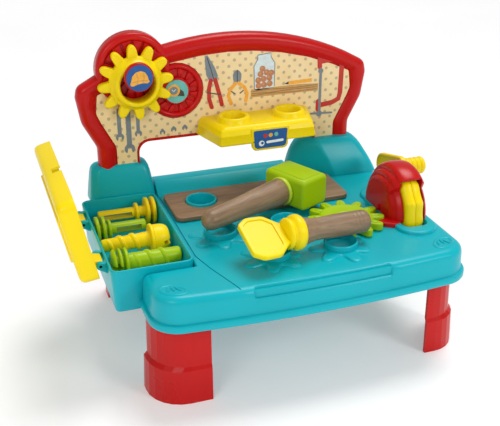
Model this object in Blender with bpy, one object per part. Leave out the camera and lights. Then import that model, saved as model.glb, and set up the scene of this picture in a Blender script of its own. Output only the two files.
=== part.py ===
"""Toy workbench for toddlers: table, tool board, tool bin with lid, saw and loose toys.

Lengths below are millimetres in the bench's own datum frame; MM turns them into metres.
The datum is carried by the empty "bench_datum", which stands the model's box on the origin.
"""
import math

import bmesh
import bpy
from mathutils import Matrix, Vector

MM = 0.001
GAP = 0.3                      # clearance between touching pieces
DATUM = (7.2, 27.0, 0.0)       # bench datum, seen from the middle of the model's footprint

# table
TOP_Z = 134.0
SKIRT = 38.0
WALL = 3.0
FRONT_Y, REAR_Y = -172.0, 118.0
LEFT_X, REAR_LEFT_X, RIGHT_X = -153.0, -172.0, 199.0
FRONT_BOW = 7.0
CORNER_R = 29.0
LIP = 4.5
LEG_FLARE, LEG_STEP, LEG_FRONT_FLARE = 11.0, 44.0, 0.55
NOTCH_X, NOTCH_FRONT, NOTCH_REAR = -95.5, -103.0, 84.0
CURB_Y = (76.0, 99.0)
CURB_HEIGHT = 13.0

# sockets in the table
SOCKETS = ((-48, 40), (92, 38), (-50, -44), (28, -46), (-11, -110), (65, -114))
SOCKET_R, SOCKET_BORE, SOCKET_RISE, SOCKET_DROP = 18.8, 16.0, 9.0, 24.0

# board
BOARD_X = 6.0
BOARD_Y = (94.5, 115.5)
PANEL_Y = 99.5
SHELF_BACK = PANEL_Y - 1.5 - GAP
TUBE = 22.0
APEX_Z, SHOULDER_Z, WAIST_Z, NECK_Z, FOOT_Z = 324.0, 262.0, 230.0, 198.0, 152.0
CORNER_HALF, SHOULDER_HALF, WAIST_HALF, FOOT_HALF, FOOT_INNER = 182.0, 184.5, 179.5, 163.0, 114.0
ARCH_R = 356.0
UNDER_Z = 202.0
LOBE, LOBE_R = (-109.5, 290.5), 44.0
DIAL, DIAL_R = (-59.5, 260.5), 34.0

# gear set
GEAR_TEETH, GEAR_TIP, GEAR_ROOT, GEAR_HOLE, GEAR_BORE = 12, 44.6, 31.0, 20.4, 9.0
GEAR_THICK, BOSS_R, BOSS_RISE = 9.0, 26.0, 10.5
PEG_SHAFT, PEG_HEAD, PEG_FRONT = 8.0, 17.0, 64.8
HANG = GEAR_HOLE - PEG_SHAFT - GAP
GREEN_GEAR = (95.0, -61.5)

# bin and lid
BIN_X, BIN_Y, BIN_Z = (-185.0, -96.0), (-102.4, 83.4), (91.0, 141.0)
BIN_FLOOR = 113.0
HINGE = (-191.0, 136.3)
LID_OPEN = 102.0
LID_REACH, LID_Y, LID_DEPTH = (-4.0, 92.0), (-101.0, 82.0), 20.0
LUGS = (-62.0, 42.0)

# saw
AXLE = (-49.5, 142.0)
AXLE_R, AXLE_BORE, PIN_R, PIN_BORE = 3.0, 3.09, 2.0, 2.07
WHEEL_R, WHEEL_X, WHEEL_SIDES = 47.0, (155.5, 179.0), 12
GUARD_X, GUARD_R = (142.0, 184.0), 52.0
RIM_Z = TOP_Z + 4.0
GRIP = (-13.0, 171.5)
GRIP_R = 10.5


def vec(x, y, z):
    return Vector((x * MM, y * MM, z * MM))


def material(name, colour, roughness):
    mat = bpy.data.materials.get(name)
    if mat is None:
        mat = bpy.data.materials.new(name)
        mat.use_nodes = True
        shader = mat.node_tree.nodes["Principled BSDF"]
        shader.inputs["Base Color"].default_value = (*colour, 1.0)
        shader.inputs["Roughness"].default_value = roughness
    return mat


def teal():
    return material("teal_plastic", (0.0, 0.40, 0.43), 0.32)


def red():
    return material("red_plastic", (0.62, 0.02, 0.02), 0.3)


def yellow():
    return material("yellow_plastic", (0.80, 0.60, 0.01), 0.3)


def green():
    return material("lime_plastic", (0.35, 0.52, 0.01), 0.3)


def wood():
    return material("wood_look_plastic", (0.28, 0.18, 0.10), 0.5)


def paper():
    return material("printed_card", (0.85, 0.62, 0.30), 0.6)


def label(name, colour):
    return material(name, colour, 0.45)


def add(name, bm, mat, pivot=(0, 0, 0), parent=None, smooth=True):
    """Turn a bmesh in datum metres into an object whose origin is at pivot."""
    bmesh.ops.recalc_face_normals(bm, faces=bm.faces)
    bmesh.ops.translate(bm, verts=bm.verts, vec=-vec(*pivot))
    mesh = bpy.data.meshes.new(name)
    bm.to_mesh(mesh)
    bm.free()
    if smooth:
        mesh.shade_smooth()
        mesh.set_sharp_from_angle(angle=math.radians(35))
    obj = bpy.data.objects.new(name, mesh)
    bpy.context.scene.collection.objects.link(obj)
    mesh.materials.append(mat)
    obj.location = vec(*pivot)
    obj.parent = parent if parent else bpy.data.objects["bench_datum"]
    if parent and parent.name != "bench_datum":
        obj.location = obj.location - parent.location
    return obj


def boolean(target, operation, bm, name):
    """Cut target with, or join it to, the closed shape in bm, and apply it."""
    tool = add(name, bm, target.data.materials[0], smooth=False)
    tool.hide_render = True
    tool.display_type = "WIRE"
    mod = target.modifiers.new(name, "BOOLEAN")
    mod.operation = operation
    mod.solver = "EXACT"
    mod.object = tool


def loft(bm, rings, closed=False):
    """Skin a list of equal point rings with quads; cap the ends unless closed."""
    rows = [[bm.verts.new(vec(*p)) for p in ring] for ring in rings]
    count = len(rows[0])
    pairs = list(zip(rows, rows[1:]))
    if closed:
        pairs.append((rows[-1], rows[0]))
    for low, high in pairs:
        for i in range(count):
            j = (i + 1) % count
            bm.faces.new((low[i], low[j], high[j], high[i]))
    if not closed:
        bm.faces.new(rows[0])
        bm.faces.new(rows[-1])
    return bm


def arc(cx, cy, r, start, stop, steps):
    angles = [math.radians(start + (stop - start) * i / steps) for i in range(steps + 1)]
    return [(cx + r * math.cos(a), cy + r * math.sin(a)) for a in angles]


def rounded_rect(x0, x1, y0, y1, r, steps=4):
    return (arc(x1 - r, y0 + r, r, -90, 0, steps) + arc(x1 - r, y1 - r, r, 0, 90, steps)
            + arc(x0 + r, y1 - r, r, 90, 180, steps) + arc(x0 + r, y0 + r, r, 180, 270, steps))


def circle(cx, cy, r, count=24):
    return [(cx + r * math.cos(2 * math.pi * i / count), cy + r * math.sin(2 * math.pi * i / count))
            for i in range(count)]


def fillet_path(corners, steps=4):
    """Round each (x, y, radius) corner of a closed outline."""
    out = []
    count = len(corners)
    for i, (x, y, r) in enumerate(corners):
        here = Vector((x, y))
        back = Vector(corners[i - 1][:2]) - here
        ahead = Vector(corners[(i + 1) % count][:2]) - here
        if r == 0:
            out.append((x, y))
            continue
        half = back.angle(ahead) / 2
        cut = r / math.tan(half)
        centre = here + (back.normalized() + ahead.normalized()).normalized() * (r / math.sin(half))
        a = here + back.normalized() * cut - centre
        b = here + ahead.normalized() * cut - centre
        turn = a.angle_signed(b)
        for k in range(steps + 1):
            spot = Matrix.Rotation(-turn * k / steps, 2) @ a
            out.append((centre.x + spot.x, centre.y + spot.y))
    return out


def on_z(points, z):
    return [(x, y, z) for x, y in points]


def on_y(points, y):
    return [(x, y, z) for x, z in points]


def on_x(points, x):
    return [(x, y, z) for y, z in points]


def prism(bm, points, plane, low, high):
    return loft(bm, [plane(points, low), plane(points, high)])


def lathe(bm, profile, steps=16):
    """Turn (along, radius) stations about the X axis; a zero radius closes an end."""
    rings = []
    for along, radius in profile:
        radius = max(radius, 0.4)
        rings.append(on_x(circle(0, 0, radius, steps), along))
    return loft(bm, rings)


def move(bm, matrix, offset):
    bmesh.ops.transform(bm, matrix=matrix.to_4x4(), verts=bm.verts)
    bmesh.ops.translate(bm, verts=bm.verts, vec=vec(*offset))
    return bm


TOWARD_FRONT = Matrix.Rotation(math.radians(-90), 3, "Z")
ALONG_Z = Matrix.Rotation(math.radians(-90), 3, "Y")


# ---- table -------------------------------------------------------------------------------

def table_outline(out, notch=0.0):
    """Table edge moved outwards by out, with the bin's notch edges moved by notch."""
    r = CORNER_R
    mid = (LEFT_X + RIGHT_X) / 2
    half = (RIGHT_X - LEFT_X) / 2 - r
    bow = (half ** 2 + FRONT_BOW ** 2) / (2 * FRONT_BOW)
    pts = arc(LEFT_X + r, FRONT_Y + FRONT_BOW + r, r + out, 180, 266, 6)
    swing = math.degrees(math.asin(half / bow))
    pts += arc(mid, FRONT_Y + bow, bow + out, 270 - swing * 0.9, 270 + swing * 0.9, 10)
    pts += arc(RIGHT_X - r, FRONT_Y + FRONT_BOW + r, r + out, 274, 360, 6)
    pts += arc(RIGHT_X - 20, REAR_Y - 20, 20 + out, 0, 90, 4)
    pts += arc(REAR_LEFT_X + 14, REAR_Y - 14, 14 + out, 90, 180, 3)
    pts.append((REAR_LEFT_X - out, NOTCH_REAR - notch))
    pts.append((NOTCH_X - notch, NOTCH_REAR - notch))
    pts.append((NOTCH_X - notch, NOTCH_FRONT + notch))
    pts.append((LEFT_X - out, NOTCH_FRONT + notch))
    return pts


def table_top():
    bottom = TOP_Z - SKIRT
    outer = ((-6, -1, TOP_Z), (-2, 0, TOP_Z - 1.2), (0, 0, TOP_Z - 5), (0.5, 0, bottom + 11),
             (LIP, 0, bottom + 8), (LIP, 0, bottom + 2), (1, 0, bottom))
    inner = ((-WALL, -WALL, bottom), (-WALL, -WALL, TOP_Z - WALL))
    rings = [on_z(table_outline(o, n), z) for o, n, z in outer + inner]
    obj = add("table_top", loft(bmesh.new(), rings), teal())
    ridge = [(CURB_Y[0], TOP_Z - 1), (CURB_Y[1], TOP_Z + CURB_HEIGHT),
             (REAR_Y - 3, TOP_Z + CURB_HEIGHT), (REAR_Y - 0.4, TOP_Z + CURB_HEIGHT - 3),
             (REAR_Y - 0.4, TOP_Z - 1)]
    boolean(obj, "UNION", prism(bmesh.new(), ridge, on_x, -91, 83.4), "curb_add")
    posts = bmesh.new()
    bores = bmesh.new()
    for x, y in SOCKETS:
        prism(posts, circle(x, y, SOCKET_R), on_z, TOP_Z - SOCKET_DROP, TOP_Z + SOCKET_RISE)
        prism(bores, circle(x, y, SOCKET_BORE), on_z, TOP_Z - SOCKET_DROP - 2, TOP_Z + SOCKET_RISE + 2)
    boolean(obj, "UNION", posts, "socket_add")
    boolean(obj, "DIFFERENCE", bores, "socket_cut")
    rim = rounded_rect(143, 190, -119, 19, 23, 5)
    slot = rounded_rect(152, 181.5, -101, 7, 8)
    boolean(obj, "UNION", prism(bmesh.new(), rim, on_z, TOP_Z - 2, RIM_Z), "saw_rim_add")
    boolean(obj, "DIFFERENCE", prism(bmesh.new(), slot, on_z, TOP_Z - 20, TOP_Z + 20), "saw_slot_cut")
    relief = rounded_rect(GUARD_X[1] + 0.5, RIGHT_X, -64, 30, 2, 1)
    boolean(obj, "DIFFERENCE", prism(bmesh.new(), relief, on_z, TOP_Z, RIM_Z + 4), "lever_relief_cut")
    return obj


def leg(name, x, y, side, face, long_x, long_y, r=34.0, t=4.0):
    """Corner leg: an L-shaped shell with a stepped, flared foot. side and face are -1 or +1."""
    def ring(grow, z):
        gx, gy = grow, grow * LEG_FRONT_FLARE
        pts = [(-gx, long_y)] + [(u - gx, v - gy) for u, v in arc(r, r, r, 180, 270, 6)]
        pts += [(long_x, -gy), (long_x, t - gy)]
        pts += [(u - gx, v - gy) for u, v in reversed(arc(r, r, r - t, 180, 270, 6))] + [(t - gx, long_y)]
        return [(x - side * px, y - face * py, z) for px, py in pts]
    under, top = TOP_Z - SKIRT - GAP, TOP_Z - WALL - GAP
    levels = ((LEG_FLARE, 0), (LEG_FLARE - 1.5, LEG_STEP - 4), (LEG_FLARE - 5, LEG_STEP),
              (LEG_FLARE - 6, under - 1), (0, under), (0, top))
    return add(name, loft(bmesh.new(), [ring(grow, z) for grow, z in levels]), red())


# inset of the left side, of the right side and of the front, height, then the corner cut along X and Y
LEFT_HUMP = ((0, 0, 0, 0, 8, 6), (1, 1, 1, 8, 8, 6), (3, 3, 5, 24, 8, 6), (5, 5, 9, 36, 8, 6),
             (9, 9, 12, 41, 8, 6))
RIGHT_HUMP = ((0, 0, 0, 0, 56, 36), (2.5, 4, 2, 10, 50, 33), (5.5, 10.5, 6, 22, 42, 28),
              (11, 17, 12, 34, 30, 22), (16, 22, 15, 40, 22, 17), (26, 28, 20, 45.5, 12, 12))
LEFT_FOOT = (BOARD_X - FOOT_HALF, BOARD_X - FOOT_INNER)
RIGHT_FOOT = (BOARD_X + FOOT_INNER, BOARD_X + FOOT_HALF)


def pedestal(name, x0, x1, front, back_r, hump, hole_x):
    """Moulded hump holding a board foot; its front leans back and its inner front corner is cut."""
    y1 = REAR_Y - 0.4
    rings = []
    for left, right, lean, height, cut_x, cut_y in hump:
        y0, r = front + lean, 6 + (left + right) * 0.12
        corners = ((x0 + left, y0 + cut_y, r), (x0 + left + cut_x, y0, r), (x1 - right, y0, r),
                   (x1 - right, y1, back_r), (x0 + left, y1, 7))
        rings.append(on_z(fillet_path(corners), TOP_Z + GAP + height))
    obj = add(name, loft(bmesh.new(), rings), teal())
    pocket = rounded_rect(hole_x[0] - GAP, hole_x[1] + GAP, BOARD_Y[0] - GAP, BOARD_Y[1] + GAP, 0.5, 1)
    boolean(obj, "DIFFERENCE", prism(bmesh.new(), pocket, on_z, FOOT_Z - GAP, FOOT_Z + 60), name + "_cut")
    return obj


# ---- board -------------------------------------------------------------------------------

def board_outline(inset, under):
    """Board edge moved inwards by inset; the underside of the arch moves by under."""
    def arch(half):
        return APEX_Z - ARCH_R + math.sqrt(ARCH_R ** 2 - half ** 2)
    corner = CORNER_HALF - inset
    pts = [(BOARD_X - FOOT_HALF + inset, FOOT_Z, 0), (BOARD_X - FOOT_INNER - under, FOOT_Z, 0),
           (BOARD_X - FOOT_INNER - under, UNDER_Z + under, 13 + under),
           (BOARD_X + FOOT_INNER + under, UNDER_Z + under, 13 + under),
           (BOARD_X + FOOT_INNER + under, FOOT_Z, 0), (BOARD_X + FOOT_HALF - inset, FOOT_Z, 0),
           (BOARD_X + FOOT_HALF - inset, NECK_Z, 14), (BOARD_X + WAIST_HALF - inset, WAIST_Z, 30),
           (BOARD_X + SHOULDER_HALF - inset, SHOULDER_Z - inset * 0.9, 12)]
    pts.append((BOARD_X + corner, arch(corner) - inset, max(12 - inset * 0.4, 2)))
    for i in range(9):
        x = corner * 0.86 * (1 - i / 4)
        pts.append((BOARD_X + x, arch(x) - inset, 0))
    pts.append((BOARD_X - corner, arch(corner) - inset, max(12 - inset * 0.4, 2)))
    pts += [(BOARD_X - SHOULDER_HALF + inset, SHOULDER_Z - inset * 0.9, 12),
            (BOARD_X - WAIST_HALF + inset, WAIST_Z, 30), (BOARD_X - FOOT_HALF + inset, NECK_Z, 14)]
    return fillet_path(pts)


def ring_cut(bm, centre, r_out, r_in, y0, y1):
    """Annular groove cutter about Y."""
    rings = [on_y(circle(*centre, r), y) for r, y in ((r_out, y0), (r_out, y1), (r_in, y1), (r_in, y0))]
    return loft(bm, rings, closed=True)


def backboard_frame():
    y0, y1 = BOARD_Y
    body = loft(bmesh.new(), [on_y(board_outline(6, 1.5), y0), on_y(board_outline(1.5, 0), y0 + 3),
                              on_y(board_outline(0, 0), y0 + 8), on_y(board_outline(0, 0), y1 - 6),
                              on_y(board_outline(4, 0), y1)])
    obj = add("backboard_frame", body, red())
    panel = prism(bmesh.new(), board_outline(TUBE, 2), on_y, y0 - 5, PANEL_Y)
    boolean(obj, "DIFFERENCE", panel, "panel_cut")
    lobe = prism(bmesh.new(), circle(*LOBE, LOBE_R, 32), on_y, y0 + 0.2, y1 - 0.3)
    boolean(obj, "UNION", lobe, "lobe_add")
    dial = prism(bmesh.new(), circle(*DIAL, DIAL_R), on_y, y0 + 0.7, PANEL_Y + 2)
    boolean(obj, "UNION", dial, "dial_add")
    boolean(obj, "DIFFERENCE", ring_cut(bmesh.new(), DIAL, 27, 17, y0 - 5, PANEL_Y - 1), "dial_cut")
    recess = prism(bmesh.new(), circle(*LOBE, 35), on_y, y0 - 5, PANEL_Y + 2)
    boolean(obj, "DIFFERENCE", recess, "lobe_cut")
    return obj


def print_panel():
    obj = add("print_panel", prism(bmesh.new(), board_outline(TUBE + GAP, 2 + GAP), on_y,
                                   PANEL_Y - 1.5, PANEL_Y - GAP), paper())
    discs = bmesh.new()
    prism(discs, circle(*LOBE, LOBE_R + GAP, 32), on_y, PANEL_Y - 20, PANEL_Y + 20)
    boolean(obj, "DIFFERENCE", discs, "panel_lobe_cut")
    dial = prism(bmesh.new(), circle(*DIAL, DIAL_R + GAP), on_y, PANEL_Y - 20, PANEL_Y + 20)
    boolean(obj, "DIFFERENCE", dial, "panel_dial_cut")
    return obj


def gear_peg():
    floor = PANEL_Y + 2 - GAP
    length = floor - PEG_FRONT
    profile = ((0, 12), (3, 12), (5, PEG_SHAFT), (length - 7.2, PEG_SHAFT), (length - 6.2, PEG_HEAD - 1),
               (length - 5.2, PEG_HEAD), (length - 1.2, PEG_HEAD), (length, PEG_HEAD - 1.2))
    bm = move(lathe(bmesh.new(), profile, 24), TOWARD_FRONT, (LOBE[0], floor, LOBE[1]))
    return add("gear_peg", bm, red(), (LOBE[0], floor, LOBE[1]))


def disc_label(name, centre, r, y, colour):
    disc = prism(bmesh.new(), circle(*centre, r), on_y, y - 0.6, y)
    return add(name, disc, label(name + "_print", colour))


def gear_points(tip, root):
    pts = []
    for i in range(GEAR_TEETH):
        mid = math.radians(90 + i * 360 / GEAR_TEETH)
        for turn, r in ((-11, root), (-6.5, tip - 4), (-3.5, tip - 0.6), (0, tip), (3.5, tip - 0.6),
                        (6.5, tip - 4), (11, root)):
            a = mid + math.radians(turn)
            pts.append((r * math.cos(a), r * math.sin(a)))
    return pts


def gear(name, mat, pivot, turn, flat):
    """Gear with teeth from 0 to GEAR_THICK along its own axis; the one on the wall has a raised, open hub."""
    bm = bmesh.new()
    loft(bm, [on_z(gear_points(GEAR_TIP - 1.5, GEAR_ROOT), 0), on_z(gear_points(GEAR_TIP, GEAR_ROOT), 1.5),
              on_z(gear_points(GEAR_TIP, GEAR_ROOT), GEAR_THICK - 1.5),
              on_z(gear_points(GEAR_TIP - 1.5, GEAR_ROOT), GEAR_THICK)])
    rotation = Matrix.Rotation(math.radians(turn), 3, "Z")
    if not flat:
        rotation = Matrix.Rotation(math.radians(90), 3, "X") @ rotation
    obj = add(name, move(bm, rotation, pivot), mat, pivot)
    high, bore = GEAR_THICK + BOSS_RISE, GEAR_BORE if flat else GEAR_HOLE
    boss = loft(bmesh.new(), [on_z(circle(0, 0, BOSS_R + 2), 3), on_z(circle(0, 0, BOSS_R), GEAR_THICK + 1),
                              on_z(circle(0, 0, BOSS_R - 2), high)])
    if not flat:
        boolean(obj, "UNION", move(boss, rotation, pivot), name + "_boss_add")
    hole = prism(bmesh.new(), circle(0, 0, bore), on_z, -3, high + 3)
    boolean(obj, "DIFFERENCE", move(hole, rotation, pivot), name + "_hole_cut")
    return obj


def shelf():
    mid, top, bottom = 39.0, 224.5, UNDER_Z + 2.4
    def section(inset, z):
        pts = ((mid - 72 + inset, SHELF_BACK), (mid - 58 + inset, 46 + inset),
               (mid + 58 - inset, 46 + inset), (mid + 72 - inset, SHELF_BACK))
        return on_z(pts, z)
    obj = add("shelf", loft(bmesh.new(), [section(2, bottom), section(0, bottom + 2),
                                          section(0, top - 2), section(2, top)]), yellow())
    badge = fillet_path(((17, 221, 3), (17, 193.5, 6), (65, 193.5, 6), (65, 221, 3)))
    boolean(obj, "UNION", prism(bmesh.new(), badge, on_y, 43, 48), "badge_add")
    collars, bores = bmesh.new(), bmesh.new()
    for x in (5.0, 76.0):
        loft(collars, [on_z(circle(x, 75, 18.8), 222), on_z(circle(x, 75, 18.8), 224.5),
                       on_z(circle(x, 75, 17.8), 231)])
        prism(bores, circle(x, 75, 13.3), on_z, 200, 235)
    boolean(obj, "UNION", collars, "shelf_collar_add")
    boolean(obj, "DIFFERENCE", bores, "shelf_bore_cut")
    return obj


def shelf_label():
    shape = fillet_path(((20, 218, 1.5), (20, 196.5, 4), (62, 196.5, 4), (62, 218, 1.5)))
    face = prism(bmesh.new(), shape, on_y, 42.1, 42.7)
    return add("shelf_label", face, label("blue_print", (0.01, 0.12, 0.36)))


# ---- bin and lid -------------------------------------------------------------------------

def tool_bin():
    (x0, x1), (y0, y1), (z0, z1) = BIN_X, BIN_Y, BIN_Z
    def ring(d, z):
        return on_z(rounded_rect(x0 + d, x1 - d, y0 + d, y1 - d, max(9 - d, 4)), z)
    rings = [ring(4, BIN_FLOOR - 3), ring(6, z0), ring(3, z0), ring(0, z1 - 1), ring(1, z1), ring(2.4, z1),
             ring(3, z1 - 1), ring(4.5, BIN_FLOOR)]
    obj = add("tool_bin", loft(bmesh.new(), rings), teal())
    lugs = bmesh.new()
    for y in LUGS:
        for side in (-1, 1):
            mid = y + side * 13
            shape = [(HINGE[0] - 4, HINGE[1] - 2), (HINGE[0] + 7, HINGE[1] - 14),
                     (HINGE[0] + 7, HINGE[1] + 3),
                     (HINGE[0] - 2, HINGE[1] + 4), (HINGE[0] - 4, HINGE[1] + 2)]
            prism(lugs, shape, on_y, mid - 2.5, mid + 2.5)
    boolean(obj, "UNION", lugs, "lug_add")
    pins = bmesh.new()
    for y in LUGS:
        prism(pins, circle(*HINGE, PIN_BORE, 20), on_y, y - 17, y + 17)
    boolean(obj, "DIFFERENCE", pins, "lug_cut")
    return obj


def hinge_pin(index, y):
    pin = prism(bmesh.new(), circle(*HINGE, PIN_R, 20), on_y, y - 15.5, y + 15.5)
    return add("lid_pin_%d" % index, pin,
               teal(), (HINGE[0], y, HINGE[1]))


def tray_lid():
    """Lid drawn closed over the bin, then swung open about its pins."""
    hx, hz = HINGE
    rim = BIN_Z[1] + GAP
    u0, u1 = hx + LID_REACH[0], hx + LID_REACH[1]
    y0, y1 = LID_Y
    def ring(d, z):
        return on_z(rounded_rect(u0 + d, u1 - d, y0 + d, y1 - d, max(10 - d, 2)), z)
    top = rim + LID_DEPTH
    shell = [ring(8, top), ring(3, top - 1.2), ring(0.6, top - 5), ring(0, rim), ring(2.5, rim),
             ring(3.1, top - 6), ring(6, top - 2.6)]
    obj = add("bin_lid", loft(bmesh.new(), shell), yellow(), (hx, 0, hz))
    notch = prism(bmesh.new(), rounded_rect(u1 - 7, u1 + 10, -16, -4, 1.5, 2), on_z, rim - 3, top + 3)
    boolean(obj, "DIFFERENCE", notch, "lid_notch_cut")
    pads = bmesh.new()
    prism(pads, rounded_rect(u0 + 16, u1 - 30, -70, 50, 8), on_z, top - 2.6, top + 2.5)
    boolean(obj, "UNION", pads, "lid_pad_add")
    eyes = bmesh.new()
    for y in LUGS:
        eye = arc(hx, hz, 4.2, 90, 300, 8) + [(hx + 6, rim + 0.5), (hx + 6, rim + 8), (hx - 2.2, rim + 8)]
        prism(eyes, eye, on_y, y - 10, y + 10)
    boolean(obj, "UNION", eyes, "lid_eye_add")
    bores = bmesh.new()
    for y in LUGS:
        prism(bores, circle(hx, hz, PIN_BORE, 20), on_y, y - 12, y + 12)
    boolean(obj, "DIFFERENCE", bores, "lid_eye_cut")
    tools = [m.object for m in obj.modifiers]
    swing = (Matrix.Translation(vec(hx, 0, hz)) @ Matrix.Rotation(math.radians(-LID_OPEN), 4, "Y")
             @ Matrix.Translation(-vec(hx, 0, hz)))
    for item in tools:
        item.matrix_basis = swing @ item.matrix_basis
    obj.matrix_basis = swing @ obj.matrix_basis
    return obj


# ---- saw ---------------------------------------------------------------------------------

def saw_guard():
    """Hollow hood over the wheel, open at the front and below."""
    ay, az = AXLE
    (x0, x1), base = GUARD_X, RIM_Z + GAP
    def side(r, x):
        low = math.degrees(math.asin((base - az) / r))
        near = r * 0.82
        return on_x(arc(ay, az, r, low, 128, 16)
                    + arc(ay, az, near, 132, 180 + math.degrees(math.asin((az - base) / near)), 6), x)
    layers = ((34, x0), (41, x0 + 3.5), (46, x0 + 7), (48, x0 + 8), (GUARD_R - 1, x0 + 9),
              (GUARD_R, x0 + 13), (GUARD_R - 1, x1 - 5), (GUARD_R - 5, x1))
    obj = add("saw_guard", loft(bmesh.new(), [side(r, x) for r, x in layers]), red())
    inner = arc(ay, az, WHEEL_R + 1.6, -20, 200, 24)
    hollow = prism(bmesh.new(), inner, on_x, WHEEL_X[0] - 1.6, WHEEL_X[1] + 1.6)
    boolean(obj, "DIFFERENCE", hollow, "guard_hollow_cut")
    mouth = [(ay - 90, base - 9), (ay - 90, az + 60), (ay - 30, az + 60), (ay - 20, az), (ay - 20, base - 9)]
    opened = prism(bmesh.new(), mouth, on_x, WHEEL_X[0] - 1.6, WHEEL_X[1] + 1.6)
    boolean(obj, "DIFFERENCE", opened, "guard_mouth_cut")
    bore = prism(bmesh.new(), circle(ay, az, AXLE_BORE, 20), on_x, x0 - 5, x1 + 5)
    boolean(obj, "DIFFERENCE", bore, "guard_bore_cut")
    return obj


def wheel_half(name, x0, x1, flip):
    ay, az = AXLE
    def ring(r, x):
        pts = circle(ay, az, r, WHEEL_SIDES * 2)
        return on_x(pts, x)
    low, high = (x0, x1) if flip else (x1, x0)
    step = (high - low) / abs(high - low)
    bm = loft(bmesh.new(), [ring(WHEEL_R - 5, low), ring(WHEEL_R - 1.5, low + 2 * step),
                            ring(WHEEL_R, low + 5 * step), ring(WHEEL_R - 0.6, high)])
    obj = add(name, bm, yellow(), ((x0 + x1) / 2, ay, az))
    bore = prism(bmesh.new(), circle(ay, az, AXLE_BORE, 20), on_x, x0 - 3, x1 + 3)
    boolean(obj, "DIFFERENCE", bore, name + "_cut")
    return obj


def saw_axle():
    ay, az = AXLE
    profile = ((GUARD_X[0] - 2.4, 3.6), (GUARD_X[0] - 0.4, 3.6), (GUARD_X[0] - 0.4, AXLE_R), (192.5, AXLE_R))
    return add("saw_axle", move(lathe(bmesh.new(), profile), Matrix.Identity(3), (0, ay, az)), red(),
               (167, ay, az))


def saw_lever():
    """Rocking handle on the axle's outer end: a plate with a ribbed grip."""
    ay, az = AXLE
    gy, gz = GRIP
    plate = (arc(ay, az, 7.4, 150, 300, 8) + arc(34, 161, 11, -45, 80, 5) + arc(gy, gz, 14, 80, 150, 5))
    obj = add("saw_lever", prism(bmesh.new(), plate, on_x, 185, 191), yellow(), (188, ay, az))
    ribs = [(190, 8)]
    for i in range(4):
        ribs += [(193 + i * 6, GRIP_R - 1), (195 + i * 6, GRIP_R), (198 + i * 6, GRIP_R)]
    ribs += [(217, GRIP_R - 1), (218.5, GRIP_R - 4)]
    grip = move(lathe(bmesh.new(), ribs), Matrix.Identity(3), (0, gy, gz))
    boolean(obj, "UNION", grip, "grip_add")
    bore = prism(bmesh.new(), circle(ay, az, AXLE_BORE, 20), on_x, 180, 200)
    boolean(obj, "DIFFERENCE", bore, "lever_cut")
    return obj


# ---- loose toys --------------------------------------------------------------------------

PLANK_X, PLANK_Y, PLANK_Z = (-88.0, 128.0), (0.0, 73.5), (TOP_Z + GAP, TOP_Z + 6.0)
HEAD_MID, HEAD_Z = (59.4, 5.4), (PLANK_Z[1] + GAP, PLANK_Z[1] + 38.0)
HAMMER_TURN = 205.5
DRIVER_Z = TOP_Z + 31.5
DRIVER_START, DRIVER_TURN, DRIVER_DIP = (-48.6, -124.4), 7.6, 3.4


def plank():
    bm = loft(bmesh.new(), [on_z(rounded_rect(*PLANK_X, *PLANK_Y, 9, 4), PLANK_Z[0]),
                            on_z(rounded_rect(*PLANK_X, *PLANK_Y, 9, 4), PLANK_Z[1])])
    obj = add("plank", bm, wood(), ((PLANK_X[0] + PLANK_X[1]) / 2, sum(PLANK_Y) / 2, PLANK_Z[0]))
    holes = bmesh.new()
    for x, y in SOCKETS[:2]:
        prism(holes, circle(x, y, SOCKET_R + 0.7), on_z, PLANK_Z[0] - 3, PLANK_Z[1] + 3)
    boolean(obj, "DIFFERENCE", holes, "plank_cut")
    return obj


def hammer():
    mid_z = sum(HEAD_Z) / 2
    turn = Matrix.Rotation(math.radians(HAMMER_TURN), 3, "Z")
    pivot = (*HEAD_MID, mid_z)
    half, tall = 21.5, (HEAD_Z[1] - HEAD_Z[0]) / 2
    rings = [on_y(rounded_rect(-half + d, half - d, -tall + d, tall - d, 6 - d * 0.5, 3), y)
             for d, y in ((4, -31.5), (1, -30), (0, -27), (0, 27), (1, 30), (4, 31.5))]
    head = add("hammer_head", move(loft(bmesh.new(), rings), turn, pivot), green(), pivot)
    neck = ((half - 3, 16), (half + 2, 15.5), (half + 6, 16.5), (half + 9, 15), (half + 22, 7))
    boolean(head, "UNION", move(lathe(bmesh.new(), neck, 24), turn, pivot), "neck_add")
    grip = ((half + 6.5, 15.6), (half + 9, 15.8), (half + 30, 15), (half + 70, 13), (half + 105, 11.8),
            (half + 118, 11.3), (half + 123, 9.5), (half + 126, 5))
    handle = add("hammer_handle", move(lathe(bmesh.new(), grip, 20), turn, pivot), wood(), pivot)
    socket = ((half, 17.2), (half + 6.2, 17.2), (half + 9.2, 15.4), (half + 22.4, 7.4))
    boolean(handle, "DIFFERENCE", move(lathe(bmesh.new(), socket, 24), turn, pivot), "handle_cut")


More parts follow.
